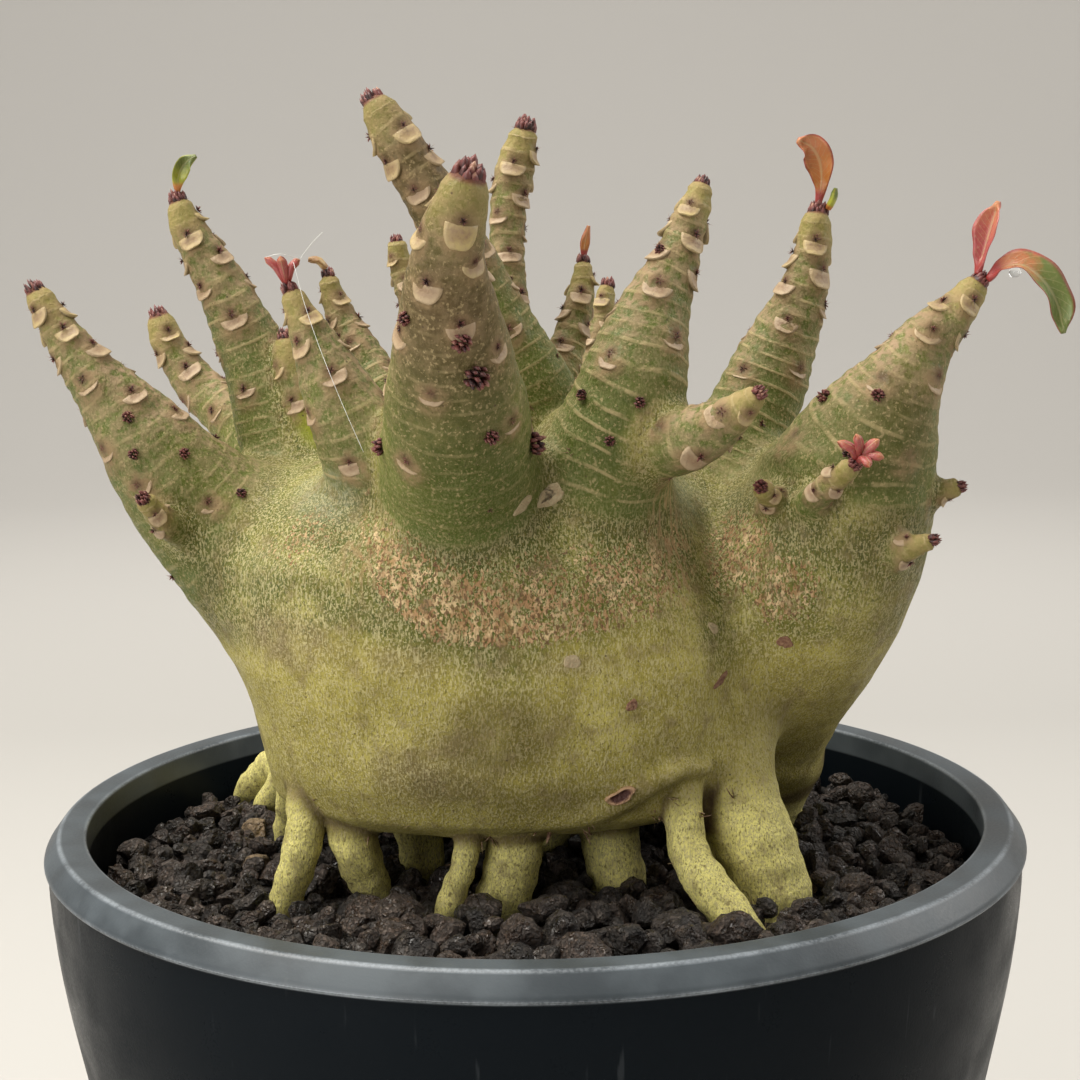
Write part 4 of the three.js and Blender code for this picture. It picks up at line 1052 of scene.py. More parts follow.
def open_bud(foot, outward, radius, draw, hairs):
    """A bud of pointed scales and short hairs that stand out round one direction."""
    outward = unit(outward)
    parts = []
    for is_scale, tilt, around in round_a_bud(outward, OPEN_SCALES, hairs, (0.1, 1.2), draw):
        toward = outward * math.cos(tilt) + around * math.sin(tilt)
        start = foot + around * radius * 0.55 * math.sin(tilt) + outward * radius * 0.3 * math.cos(tilt)
        if is_scale:
            length = radius * draw.uniform(0.75, 1.15)
            shade = draw.uniform(-0.15, 0.25)
            thick = radius * draw.uniform(0.2, 0.3)
            droop = around * length * 0.2
            parts.append(spine(start, toward, length, thick, droop, 0.5, (shade, 0.65 + shade)))
        else:
            length = radius * draw.uniform(0.6, 1.1) + 0.5
            parts.append(spine(start, toward, length, HAIR_RADIUS, around * length * 0.25, tone=(0.4, 1.2)))
    return parts


def closed_bud(foot, outward, radius, scales, draw, hairs, reach=1.0):
    """A knob of short overlapping scales that bend in over its top, with bristles between them."""
    outward = unit(outward)
    parts = []
    for is_scale, tilt, around in round_a_bud(outward, scales, hairs, (0, 1.55), draw):
        start = foot + (around * math.sin(tilt) * 0.8 + outward * (math.cos(tilt) * 0.75 - 0.1)) * radius
        if is_scale:
            toward = outward * 0.85 * reach + around * (0.2 + 0.45 * math.sin(tilt))
            length = radius * draw.uniform(0.5, 0.8) * reach
            shade = draw.uniform(-0.1, 0.35)
            thick = radius * draw.uniform(0.3, 0.42)
            inward = -around * length * 0.3 * math.sin(tilt)
            parts.append(spine(start, toward, length, thick, inward, 0.6, (shade, 0.5 + shade)))
        else:
            toward = outward * math.cos(tilt) + around * math.sin(tilt) + draw.normal(size=3) * 0.25
            length = radius * draw.uniform(0.35, 0.7)
            parts.append(spine(start, toward, length, HAIR_RADIUS, around * 0.05, tone=(0.3, 1.1)))
    return parts


scar_draw = np.random.default_rng(88)
scars = []
scar_buds = []
tips = []
scar_seats = []             # the axil and the middle of each scar, and its half width
for kind, name, line, join in grown_parts():
    if kind in ("root", "fold"):
        continue
    full_length = np.linalg.norm(np.diff(line[:, :3], axis=0), axis=1).sum()
    shown = full_length * SCARS_TO[kind]
    from_tip = SCAR_FIRST[kind]
    turn = scar_draw.uniform(0, 2 * math.pi)
    while from_tip < shown:
        radius = float(station(line, from_tip)[1][0])
        age = from_tip / shown
        half_width = min(0.8 * radius + 0.2, SCAR_WIDEST) * scar_draw.uniform(0.85, 1.1)
        length = half_width * (1.1 - 0.55 * age) * scar_draw.uniform(0.9, 1.1)
        lip = SCAR_LIP * min(1, radius / FULL_RADIUS) * (1 - 0.75 * age)
        corners, faces, values = scar_patch(line, from_tip, turn, half_width, length, lip)
        scars.append((corners, faces, np.hstack([values, np.full((len(corners), 1), age)])))
        skin_point, outward, toward = on_side(line, max(from_tip - 0.25, 0.4), turn)
        scar_seats.append((skin_point, on_side(line, from_tip + 0.5 * length, turn)[0], half_width))
        size = scar_draw.uniform(0.42, 0.7) * min(1, radius / 3)
        seat = skin_point - outward * BUD_SINK
        scar_buds += open_bud(seat, outward + 0.35 * toward, size, scar_draw, hairs=2)
        from_tip += SCAR_STEP[kind] * (1 + 1.1 * age) * scar_draw.uniform(0.9, 1.1)
        turn += GOLDEN_TURN + scar_draw.uniform(-0.2, 0.2)
    while kind == "shoot" and from_tip < full_length * OLD_BUDS_TO:
        skin_point, outward, toward = on_side(line, from_tip, turn)
        size = scar_draw.uniform(0.35, 0.7)
        seat = skin_point - outward * BUD_SINK
        tips += open_bud(seat, outward, size, scar_draw, hairs=4)
        from_tip += OLD_BUD_STEP * scar_draw.uniform(0.7, 1.3)
        turn += GOLDEN_TURN
    onward = unit(line[-1, :3] - line[-3, :3])
    radius = line[-1, 3]
    seat = line[-1, :3] + onward * radius * 0.5
    tips += closed_bud(seat, onward, radius * 0.62, TIP_SCALES, scar_draw, TIP_HAIRS, reach=1.6)

axil = np.zeros(len(skin))
halo = np.zeros(len(skin))
scarred = np.flatnonzero(on_shoot > 0.05)
for axil_spot, scar_middle, half_width in scar_seats:
    from_axil = np.linalg.norm(skin[scarred] - axil_spot, axis=1)
    from_middle = np.linalg.norm(skin[scarred] - scar_middle, axis=1)
    axil[scarred] = np.maximum(axil[scarred], np.exp(-(from_axil / (0.42 * half_width)) ** 2))
    halo[scarred] = np.maximum(halo[scarred], 1 - rise(from_middle, 0.7 * half_width, 1.5 * half_width))
set_attribute(caudex, "axil", axil)
set_attribute(caudex, "halo", halo)

scar_piece = many_as_one("leaf_scars", scars, "dish", "edge", "age")
SCAR_PALE = (0.44, 0.325, 0.195, 1)
SCAR_BROWN = (0.23, 0.13, 0.068, 1)
SCAR_YOUNG = (0.50, 0.39, 0.16, 1)
scar_cork = Finish("leaf_scar_cork", 0.55, ground=SCAR_YOUNG)
grime = scar_cork.use(mottle, Size=0.7, Detail=4.0, Low=0.4, High=0.68)
worn = scar_cork.use(mottle, Size=5.0, Detail=2.0, Shift=30.0, Low=0.35, High=0.65)
scar_cork.lay(SCAR_PALE, scar_cork.step("age", 0.05, 0.3))
scar_cork.lay(SCAR_BROWN, "dish", scar_cork.scaled(grime, 0.4, 0.6))
scar_cork.lay(MAUVE_TAN, worn, 0.55)
scar_cork.lay(MAUVE_TAN, grime, 0.35)
scar_cork.lay(DIRT_AND_SHADE, scar_cork.use(specks, Spacing=1.1, Width=0.3, Share=0.35), 0.7)
scar_cork.lay(GREY_BROWN, scar_cork.step("edge", 0.05, 0.7), 0.85)
scar_cork.bump(grime, 0.4, 0.15)
scar_cork.give_to(scar_piece)


# ---------------------------------------------------------------- buds
# The growing tips and the sleeping buds are knobs of tiny overlapping scales and bristles, dark
# maroon at the heart and paler at their points. They grew out of the skin, as the small open
# buds of the scars did.
SLEEPING_BUDS = [  # place on the skin and radius
    ((-9.8, -60.9, 220.2), 1.9), ((-8.0, -57.6, 214.6), 2.5), ((0.5, -39.7, 201.9), 2.4),
    ((-24.8, -39.4, 201.9), 1.7), ((-6.3, -52.2, 204.9), 1.5), ((-18.9, -58.4, 223.4), 1.4),
    ((51.5, -19.9, 207.5), 1.5), ((-70.4, -18.7, 206), 1.3), ((-68.5, -19.6, 199), 1.2),
    ((18.4, -35.5, 208.7), 1.2), ((13.7, -35.7, 202.1), 1.1), ((9.3, -31.9, 209.4), 1.2),
    ((22.5, -25.3, 233.2), 1.1), ((-53, 14, 211), 1.3), ((47, 20, 205), 1.4), ((-30, 21, 204), 1.2),
    ((60, -24.5, 207), 1.4), ((54, -29.5, 199), 1.3), ((-60, -19, 199.5), 1.2), ((-52, -15, 190), 1.1),
]
SLEEPING_SCALES = 16
SLEEPING_HAIRS = 20
sleeping = []
for spot, radius in SLEEPING_BUDS:
    nearest = np.argmin(np.linalg.norm(skin - spot, axis=1))
    outward = skin_normals[nearest]
    seat = skin[nearest] + outward * 0.1 * radius
    sleeping += closed_bud(seat, outward, radius * 0.8, SLEEPING_SCALES, scar_draw, SLEEPING_HAIRS)
bud_pieces = [
    many_as_one(name, parts, "tone")
    for name, parts in (("scar_buds", scar_buds), ("growing_tips", tips), ("sleeping_buds", sleeping))
]
BUD_DARK = (0.035, 0.014, 0.014, 1)
BUD_RED = (0.17, 0.048, 0.042, 1)
BUD_PINK = (0.44, 0.25, 0.16, 1)
bud_scales = Finish("bud_scales", 0.5, ground=BUD_DARK)
blush = bud_scales.scaled(bud_scales.use(mottle, Size=1.6, Low=0.3, High=0.7), 0.5, -0.25)
tone = bud_scales.count("ADD", "tone", blush)
bud_scales.lay(BUD_RED, bud_scales.step(tone, 0.05, 0.55))
bud_scales.lay(BUD_PINK, bud_scales.step(tone, 0.6, 1.1))
bud_scales.give_to(*bud_pieces)
for piece in [scar_piece] + bud_pieces:
    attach(piece, "root")
    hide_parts("caudex")


# ---------------------------------------------------------------- scabs and torn skin
# Old knocks have healed as thin corky scabs on the trunk, one with a reddish hollow where a
# root was lost. Papery shreds of dead skin hang where the roots leave the trunk.
SCABS = [  # place, long half size, short half size, tilt of the long way, lift, and kind
    ((4.1, -35.3, 193.0), 3.6, 1.5, 28, 0.3, "plaster"),
    ((-0.6, -38.6, 191.6), 2.6, 1.1, 30, 0.25, "plaster"),
    ((32.4, -27.6, 159.2), 2.3, 0.75, 28, 0.25, "brown"),
    ((16.5, -38.2, 157.5), 1.3, 0.9, 60, 0.25, "brown"),
    ((31.1, -26.9, 168.3), 1.4, 0.9, -30, 0.3, "plaster"),
    ((43.9, -25.3, 164.7), 1.6, 1.2, 10, 0.2, "brown"),
    ((6.5, -40.5, 165.6), 1.8, 1.1, 5, 0.2, "plaster"),
    ((14.4, -37.2, 141.6), 2.7, 1.4, 14, 0.5, "hollow"),
    ((-27, 40, 165), 2.4, 1.2, 20, 0.3, "brown"),
    ((12, 44, 158), 3.0, 1.3, -15, 0.3, "plaster"),
    ((52, 26, 160), 1.8, 1.0, 40, 0.3, "brown"),
    ((-55, 2, 160), 2.2, 1.2, 70, 0.3, "brown"),
]
SCAB_RINGS = (0.12, 0.34, 0.55, 0.75, 0.88, 1.0)    # shares of a scab's reach
SCAB_SIDES = 22
SCAB_SORTS = {"plaster": 0.0, "brown": 0.5, "hollow": 1.0}
SCAB_SINK = 0.3             # how deep its edge goes into the skin
HOLLOW_RIM = 0.8            # where a hollow's rim is highest
skin_tree = BVHTree.FromPolygons(skin.tolist(), skin_faces.tolist())


def on_skin(point):
    """The nearest point of the plant's skin and the direction straight out of it."""
    nearest, outward, face, distance = skin_tree.find_nearest(Vector(point))
    return np.array(nearest), np.array(outward)


def scab(spot, long_half, short_half, tilt, lift, kind, draw):
    """A thin irregular plate that follows the skin, with a raised rim if it is hollow."""
    middle, outward = on_skin(spot)
    level_way = unit(np.cross((0, 0, 1), outward))
    upright = np.cross(outward, level_way)
    turn = math.radians(tilt)
    long_way = level_way * math.cos(turn) + upright * math.sin(turn)
    short_way = np.cross(outward, long_way)
    around = np.arange(SCAB_SIDES) * 2 * math.pi / SCAB_SIDES
    ragged = 1 + 0.14 * np.sin(2 * around + draw.uniform(0, 6))
    ragged = ragged + 0.09 * np.sin(3 * around + draw.uniform(0, 6))
    ragged += draw.uniform(-0.07, 0.07, SCAB_SIDES)
    corners = []
    for share in SCAB_RINGS:
        for angle, jag in zip(around, ragged):
            flat = middle + share * jag * (
                long_way * long_half * math.cos(angle) + short_way * short_half * math.sin(angle))
            foot, away = on_skin(flat)
            if kind == "hollow":
                rim = math.exp(-((share - HOLLOW_RIM) / 0.16) ** 2)
                proud = lift * rim * (1 + 0.4 * math.sin(angle + 1)) + 0.14
            else:
                proud = lift * (0.7 + 0.3 * math.sin(5 * angle + share * 4))
            if share == 1.0:
                proud = -SCAB_SINK
            corners.append(foot + away * (proud + draw.uniform(-0.05, 0.05)))
    quads = ring_faces(len(SCAB_RINGS), SCAB_SIDES)[:, [0, 3, 2, 1]]
    loop = np.arange(SCAB_SIDES)
    closing = np.stack([loop, loop[::-1] + (len(SCAB_RINGS) - 1) * SCAB_SIDES])
    shares = np.repeat(SCAB_RINGS, SCAB_SIDES)
    values = np.stack([shares, np.full(len(shares), SCAB_SORTS[kind])], axis=1)
    return np.array(corners), (quads, closing), values


scab_draw = np.random.default_rng(5)
scabs = many_as_one("scabs", [scab(*entry, scab_draw) for entry in SCABS], "share", "sort")
PLASTER = (0.46, 0.37, 0.22, 1)
SCAB_BROWN = (0.20, 0.085, 0.05, 1)
HOLLOW_RED = (0.07, 0.022, 0.015, 1)
scab_cork = Finish("corky_scab", 0.6, ground=PLASTER)
crumb = scab_cork.use(mottle, Size=0.6, Detail=5.0, Low=0.38, High=0.66)
in_hollow = scab_cork.step("sort", 0.7, 0.9)
scab_cork.lay(SCAB_BROWN, scab_cork.step("sort", 0.2, 0.4))
scab_cork.lay(TAN, crumb, 0.4)
scab_cork.lay(HOLLOW_RED, in_hollow, scab_cork.step("share", 0.75, 0.5))
scab_cork.lay(TAN, in_hollow, scab_cork.step("share", 0.6, 0.8), 0.7)
scab_cork.bump(crumb, 0.7, 0.2)
scab_cork.give_to(scabs)

SHRED_SPOTS = [
    (-9, -31, 134.5), (-8.2, -32, 132), (1.6, -31, 136), (20, -32, 137.5), (21.5, -31, 135.5), (24, -33, 139),
    (30, -33, 137), (-36, -24, 139), (-30, -27, 133), (9, -33, 138.5), (38, -31, 121), (-20, 30, 136),
    (4, 33, 137), (34, -29, 140),
]
SHREDS_EACH = 3
THREADS = 70
THREAD_TOP = 138            # above this height there are none
THREAD_RADIUS = 0.05
shreds = []
for spot in SHRED_SPOTS:
    foot, outward = on_skin(spot)
    for _ in range(SHREDS_EACH):
        lean = unit(outward + scab_draw.normal(size=3) * 0.7)
        length = scab_draw.uniform(0.9, 2.4)
        start = foot + scab_draw.normal(size=3) * 0.5 - lean * 0.2
        thick = scab_draw.uniform(0.15, 0.4)
        droop = np.array((0, 0, -0.5)) * length * scab_draw.uniform(-0.6, 1.0)
        shreds.append(spine(start, lean, length, thick, droop, 0.25, (0.2, scab_draw.uniform(0.5, 1.0))))
for spot in scab_draw.uniform((-48, -45, 119), (48, 45, 134), size=(THREADS, 3)):
    foot, outward = on_skin(spot)
    if foot[2] > THREAD_TOP:
        continue
    lean = unit(outward + scab_draw.normal(size=3) * 0.4)
    length = scab_draw.uniform(0.8, 2.2)
    droop = scab_draw.normal(size=3) * 0.4
    shreds.append(spine(foot - lean * 0.2, lean, length, THREAD_RADIUS, droop, tone=(0.3, 0.9)))
shred_piece = many_as_one("torn_skin", shreds, "tone")
SHRED_DARK = (0.13, 0.06, 0.035, 1)
SHRED_PALE = (0.46, 0.32, 0.19, 1)
dead_skin = Finish("papery_dead_skin", 0.7, ground=SHRED_DARK)
tone = dead_skin.count("ADD", "tone", dead_skin.use(mottle, Size=0.9, Low=0.45, High=0.75))
dead_skin.lay(SHRED_PALE, dead_skin.step(tone, 0.2, 1.3))
dead_skin.give_to(shred_piece)
for piece in (scabs, shred_piece):
    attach(piece, "root")
    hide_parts("caudex")


# ---------------------------------------------------------------- pot
# A round nursery pot, moulded in one piece of charcoal plastic: a tapering wall that stands
# upright near the top, under a short flared band with a flat top and rounded edges.
POT_PROFILE = [  # radius, height and rounding of each corner, from under the base to the floor inside
    (0, 0, 0), (58, 0, 0.6), (60, 1.2, 0.6), (63.5, 1.2, 0.6), (65, 0, 0.6), (67.7, 0, 1.2), (86.3, 94, 0),
    (89.9, 112, 17.5), (89.9, 125.3, 0.25), (90.6, 125.7, 0.35), (90.5, 126.5, 0.6), (87.9, 130, 0.7),
    (82.9, 130, 0.8), (82.2, 112, 6), (63.9, 6, 3), (0, 6, 0),
]
POT_SIDES = 168
ROUND_STEPS = 6
RIM_START = 125.4
HIGHLIT_EDGES = np.array([(90.6, 125.7), (87.9, 130), (82.9, 130)])    # radius and height
HIGHLIGHT_REACH = 0.75           # millimetres from an edge over which a pale highlight is painted on the plastic
DRAIN_COUNT = 6
DRAIN_RADIUS = 4.0
DRAIN_RING = 42.0           # radius of the circle on which the drain holes lie
DRAIN_TURN = 0.137          # the first hole's place, as a share of the step from hole to hole
DRAIN_SIDES = 31
DRAIN_DEPTH = 20


def rounded(corners):
    """The corners of an outline with each one replaced by a short curve of its own size."""
    path = [corners[0][:2]]
    for before, corner, after in zip(corners[:-2], corners[1:-1], corners[2:]):
        size = corner[2]
        if size == 0:
            path.append(corner[:2])
            continue
        middle = np.array(corner[:2], dtype=float)
        toward = np.array(before[:2]) - middle
        onward = np.array(after[:2]) - middle
        start = middle + toward * min(size / np.linalg.norm(toward), 0.98)
        end = middle + onward * min(size / np.linalg.norm(onward), 0.98)
        for step in np.linspace(0, 1, ROUND_STEPS + 1):
            path.append(tuple((1 - step) ** 2 * start + 2 * step * (1 - step) * middle + step**2 * end))
    path.append(corners[-1][:2])
    return path


pot_corners, pot_faces = turned(rounded(POT_PROFILE), POT_SIDES)
pot = surface_piece("pot_shell", pot_corners, pot_faces)
drain_work = bmesh.new()
for order in range(DRAIN_COUNT):
    turn = 2 * math.pi * (order + DRAIN_TURN) / DRAIN_COUNT
    place = (DRAIN_RING * MM * math.cos(turn), DRAIN_RING * MM * math.sin(turn), 0)
    bmesh.ops.create_cone(
        drain_work, cap_ends=True, segments=DRAIN_SIDES, radius1=DRAIN_RADIUS * MM, radius2=DRAIN_RADIUS * MM,
        depth=DRAIN_DEPTH * MM, matrix=Matrix.Translation(place))
drain_data = bpy.data.meshes.new("drain_cutter")
drain_work.to_mesh(drain_data)
drain_work.free()
weld = bmesh.new()
weld.from_mesh(pot.data)
bmesh.ops.remove_doubles(weld, verts=weld.verts, dist=0.001 * MM)
weld.to_mesh(pot.data)
weld.free()
cutter = bpy.data.objects.new("drain_cutter", drain_data)
bpy.context.scene.collection.objects.link(cutter)
hole = pot.modifiers.new("drain_holes", "BOOLEAN")
hole.operation = "DIFFERENCE"
hole.solver = "MANIFOLD"
hole.object = cutter
bpy.context.view_layer.update()
pot.data = bpy.data.meshes.new_from_object(pot.evaluated_get(bpy.context.evaluated_depsgraph_get()))
pot.modifiers.clear()
bpy.data.objects.remove(cutter)
pot.data.materials.clear()
for face in pot.data.polygons:
    face.use_smooth = abs(face.normal.z) < 0.999 or face.center.z > DRAIN_DEPTH * MM
    face.material_index = 0
pot_corners = np.array([corner.co[:] for corner in pot.data.vertices]) / MM
pot_radius = np.hypot(pot_corners[:, 0], pot_corners[:, 1])
edge_gap = np.min(
    [np.hypot(pot_radius - radius, pot_corners[:, 2] - height) for radius, height in HIGHLIT_EDGES], axis=0)
set_attribute(pot, "edge", 1 - rise(edge_gap, 0.2, HIGHLIGHT_REACH))
CHARCOAL = (0.0045, 0.0068, 0.0092, 1)
RIM_SHEEN = (0.068, 0.083, 0.095, 1)
EDGE_HIGHLIGHT = (0.26, 0.29, 0.32, 1)
SCUFF = (0.10, 0.11, 0.12, 1)
plastic = Finish("charcoal_plastic", 0.38, 0.06, CHARCOAL)
on_rim = plastic.step(plastic.height(), RIM_START - 0.3, RIM_START + 0.3)
haze = plastic.use(mottle, Size=11.0, Detail=5.0, Low=0.35, High=0.7)
grain = plastic.use(mottle, Size=0.5, Shift=2.0, Low=0.35, High=0.65)
# The rim is painted paler than the wall, a painted sheen where the plastic shines.
plastic.lay(RIM_SHEEN, on_rim, plastic.scaled(haze, 0.45, 0.55))
# A painted highlight along the rim's edges.
plastic.lay(EDGE_HIGHLIGHT, "edge", plastic.scaled(haze, 0.5, plastic.product(grain, 0.35)))
scuff = plastic.use(specks, Spacing=14.0, Width=1.4, Share=0.12)
streak = plastic.use(strokes, Width=1.6, Length=22.0, Low=0.66, High=0.76)
plastic.lay(SCUFF, plastic.count("MAXIMUM", scuff, streak), 0.18)
pot_rough = plastic.scaled(haze, 0.14, plastic.scaled(grain, 0.06, 0.26))
plastic.link("Roughness", plastic.scaled(on_rim, 0.08, pot_rough))
plastic.link("Specular IOR Level", plastic.scaled(on_rim, 0.45, 0.05))
plastic.bump(grain, 0.12, 0.05)
plastic.give_to(pot)
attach(pot, "root")
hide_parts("pot")


# ---------------------------------------------------------------- grit
# The pot is filled with damp black lava grit of mixed sizes. The bed is one surface, and the
# loose lumps lie on it and on each other, kept clear of the wall and heaped round the roots.
BED_RADIUS = 81.4
BED_LEVEL = 117.2
BED_FLOOR = 112.0
BED_SIDES = 64
LUMP_COUNT = 3000
LUMP_SIZES = (2.9, 6.4)     # widths, most of them small
GRIT_TOP = 120.6
STONE_SHAPES = 10           # different small stones, and as many large ones
STONE_FLATS = 9
LARGE_STONE = 2.8           # radius from which a stone is made with more faces
LEVEL_SIDE = 170            # the level of the grit so far is kept on squares of one millimetre


def ball_mesh(divisions):
    """Corners and triangles of a ball of radius 1."""
    work = bmesh.new()
    bmesh.ops.create_icosphere(work, subdivisions=divisions, radius=1)
    work.verts.ensure_lookup_table()
    corners = np.array([corner.co[:] for corner in work.verts])
    faces = np.array([[corner.index for corner in face.verts] for face in work.faces])
    work.free()
    return corners, faces


def broken_stone(divisions, draw):
    """A lump broken off on several flat faces, then roughened."""
    corners, faces = ball_mesh(divisions)
    for _ in range(STONE_FLATS):
        toward = draw.normal(size=3)
        toward /= np.linalg.norm(toward)
        depth = draw.uniform(0.42, 0.85)
        past = np.maximum(corners @ toward - depth, 0)
        corners = corners - past[:, None] * toward * 0.96
    corners = corners * draw.uniform([0.85, 0.8, 0.7], [1.2, 1.1, 1.0])
    corners = corners * (1 + draw.uniform(-0.06, 0.06, size=(len(corners), 1)))
    return corners / np.abs(corners).max(), faces


stone_draw = np.random.default_rng(417)
small_stones = [broken_stone(2, stone_draw) for _ in range(STONE_SHAPES)]
large_stones = [broken_stone(3, stone_draw) for _ in range(STONE_SHAPES)]
root_points = np.vstack([line for kind, name, line, join in grown_parts() if kind == "root"])
near_grit = root_points[(root_points[:, 2] > 110) & (root_points[:, 2] < 130)]
level = np.full((LEVEL_SIDE, LEVEL_SIDE), BED_LEVEL)
level_middle = LEVEL_SIDE // 2
stones = []
for order in range(LUMP_COUNT):
    angle = stone_draw.uniform(0, 2 * math.pi)
    out = math.sqrt(stone_draw.uniform(0, 1)) * (BED_RADIUS - 1.5)
    place = np.array([out * math.cos(angle), out * math.sin(angle)])
    front = max(0.0, 1 - np.hypot((place[0] - 2) / 1.6, place[1] + 46) / 30)
    radius = 0.56 * (LUMP_SIZES[0] + (LUMP_SIZES[1] - LUMP_SIZES[0]) * stone_draw.uniform() ** 1.7)
    radius *= 1 + 1.1 * min(front * 1.8, 1) * stone_draw.uniform() ** 1.5
    if out > BED_RADIUS - radius:
        place *= (BED_RADIUS - radius) / out
    cell_x, cell_y = (place + level_middle).astype(int)
    span = int(radius) + 1
    box = (slice(cell_x - span, cell_x + span + 1), slice(cell_y - span, cell_y + span + 1))
    if min(cell_x, cell_y) < span or max(cell_x, cell_y) + span >= LEVEL_SIDE:
        continue
    under_x = np.arange(cell_x - span, cell_x + span + 1)[:, None] - level_middle - place[0]
    under_y = np.arange(cell_y - span, cell_y + span + 1)[None, :] - level_middle - place[1]
    spread_squared = under_x**2 + under_y**2
    under = spread_squared < radius**2
    base = np.mean(level[box][under])
    centre_z = base + 0.45 * radius
    centre = np.array([place[0], place[1], centre_z])
    if centre_z > GRIT_TOP + 2.0 * front + stone_draw.uniform(-1.6, 0.6):
        continue
    gap = np.linalg.norm(near_grit[:, :3] - centre, axis=1) - near_grit[:, 3] - radius * 0.35
    if gap.min() < 0:
        continue
    top = centre_z + 0.75 * np.sqrt(np.maximum(radius**2 - spread_squared, 0))
    level[box] = np.where(under, np.maximum(level[box], top), level[box])
    shapes = large_stones if radius > LARGE_STONE else small_stones
    corners, faces = shapes[stone_draw.integers(STONE_SHAPES)]
    turn = stone_draw.uniform(0, 2 * math.pi)
    turned_stone = Matrix.Rotation(turn, 3, Vector(stone_draw.normal(size=3)).normalized())
    corners = corners @ np.array(turned_stone).T * radius + centre
    stones.append((corners, [faces], np.full((len(corners), 1), stone_draw.uniform())))
grit = many_as_one("grit_lumps", stones, "tone", smooth=False)
bed_profile = [(0, BED_FLOOR), (BED_RADIUS, BED_FLOOR), (BED_RADIUS, BED_LEVEL), (0, BED_LEVEL)]
bed_corners, bed_faces = turned(bed_profile, BED_SIDES)
bed = surface_piece("grit_bed", bed_corners, bed_faces)
set_attribute(bed, "tone", np.zeros(len(bed_corners)))
LAVA_BLACK = (0.014, 0.011, 0.0095, 1)
LAVA_BROWN = (0.062, 0.040, 0.029, 1)
LAVA_GREY = (0.125, 0.098, 0.080, 1)
CHIP_TAN = (0.27, 0.19, 0.11, 1)
DAMP_LOW = 0.14
DAMP_HIGH = 0.7
lava = Finish("damp_lava_grit", 0.5, ground=LAVA_BLACK)
blotch = lava.use(mottle, Size=2.4, Detail=5.0, Low=0.38, High=0.66)
pores = lava.use(mottle, Size=0.7, Detail=5.0, Shift=4.0, Low=0.42, High=0.58)
dry = lava.use(mottle, Size=1.6, Detail=5.0, Shift=8.0, Low=0.4, High=0.56)
lava.lay(LAVA_BROWN, lava.step("tone", 0.25, 0.8))
lava.lay(LAVA_GREY, blotch, 0.55)
lava.lay(LAVA_BLACK, lava.count("SUBTRACT", 1.0, pores), 0.6)
lava.lay(CHIP_TAN, lava.count("GREATER_THAN", "tone", 0.985))
lava.link("Roughness", lava.scaled(dry, DAMP_HIGH - DAMP_LOW, DAMP_LOW))
lava.bump(lava.scaled(blotch, 0.8, pores), 1.0, 0.55)
lava.give_to(grit, bed)
for piece in (grit, bed):
    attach(piece, "root")
    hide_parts("gravel")


# ---------------------------------------------------------------- leaves
# A few young leaves stand at the tips of the shoots, folded along the midrib and flushed pink
# or orange. Each grew as one blade on a short stalk, thick at the rib and thin at the edge.
LEAF_STATIONS = 40
LEAF_COLUMNS = 9            # points across one face of a blade
LEAVES = {  # node: rib x, y, z; half widths along it; way its face looks; fold, curl and wave
    "leaf_left_tall": dict(
        slot="leaf_green",
        rib=[(-64.3, 8, 244.6), (-64.1, 8, 247.4), (-62.8, 8, 249.8), (-60.6, 8, 251.2)],
        half=(0.5, 1.5, 1.6, 0.4), face=(0.5, -1, 0.3), fold=35, curl=0.1, wave=0.05),
    "leaf_short_back": dict(
        slot="leaf_orange",
        rib=[(10.9, 22.1, 232.1), (11.2, 22, 234.6), (11.9, 22, 237.6)],
        half=(0.7, 1.1, 0.4), face=(0, -1, 0), fold=40, curl=0.1, wave=0.05),
    "leaf_back_crown_dry": dict(
        slot="leaf_dry",
        rib=[(-38.8, 22, 230.2), (-40.2, 21.4, 231.6), (-42, 21, 231.9)],
        half=(0.9, 1.1, 0.5), face=(0.2, -0.4, 1), fold=30, curl=0.3, wave=0.12),
    "leaf_right_tall_long": dict(
        slot="leaf_orange",
        rib=[(54.5, 12, 240.9), (55, 11.2, 244.4), (54.6, 10.2, 248.4), (52.9, 9.4, 251.3), (50.2, 9, 252.6)],
        half=(0.6, 1.3, 2.7, 2.6, 0.6), face=(-0.3, -1, 0.2), fold=18, curl=0.25, wave=0.1),
    "leaf_right_tall_short": dict(
        slot="leaf_green",
        rib=[(56.3, 11.3, 240), (57.1, 10.5, 241.9), (57.5, 10, 243.8)],
        half=(0.6, 1, 0.4), face=(1, -0.6, 0.2), fold=30, curl=0.1, wave=0.05),
    "leaf_far_right_upright": dict(
        slot="leaf_red",
        rib=[(77.9, -18.1, 228.2), (78.8, -18.3, 231.8), (80.1, -18.2, 236.3), (81.3, -18, 240.6)],
        half=(0.7, 1.7, 2.8, 0.5), face=(-0.9, -1, 0.4), fold=42, curl=0.05, wave=0.05),
    "leaf_far_right_arched": dict(
        slot="leaf_mixed",
        rib=[(79.5, -18.7, 227.3), (82, -19.9, 229.4), (85.3, -21.2, 229.5), (88.8, -22, 226.4),
             (91.1, -22, 222.2), (92, -22, 218)],
        half=(0.7, 1.8, 3, 3.1, 2.6, 0.5), face=(-0.1, -0.75, 1), fold=24, curl=0.15, wave=0.08),
}


def smooth_through(values, stations):
    """Values on a smooth curve through the given ones, from end to end."""
    values = np.array(values, dtype=float)
    if values.ndim == 1:
        values = values[:, None]
    dense = centreline(np.hstack([values, np.zeros((len(values), 1))]), 12)[:, :-1]
    places = np.linspace(0, len(dense) - 1, stations)
    return np.stack([np.interp(places, np.arange(len(dense)), column) for column in dense.T], axis=1)


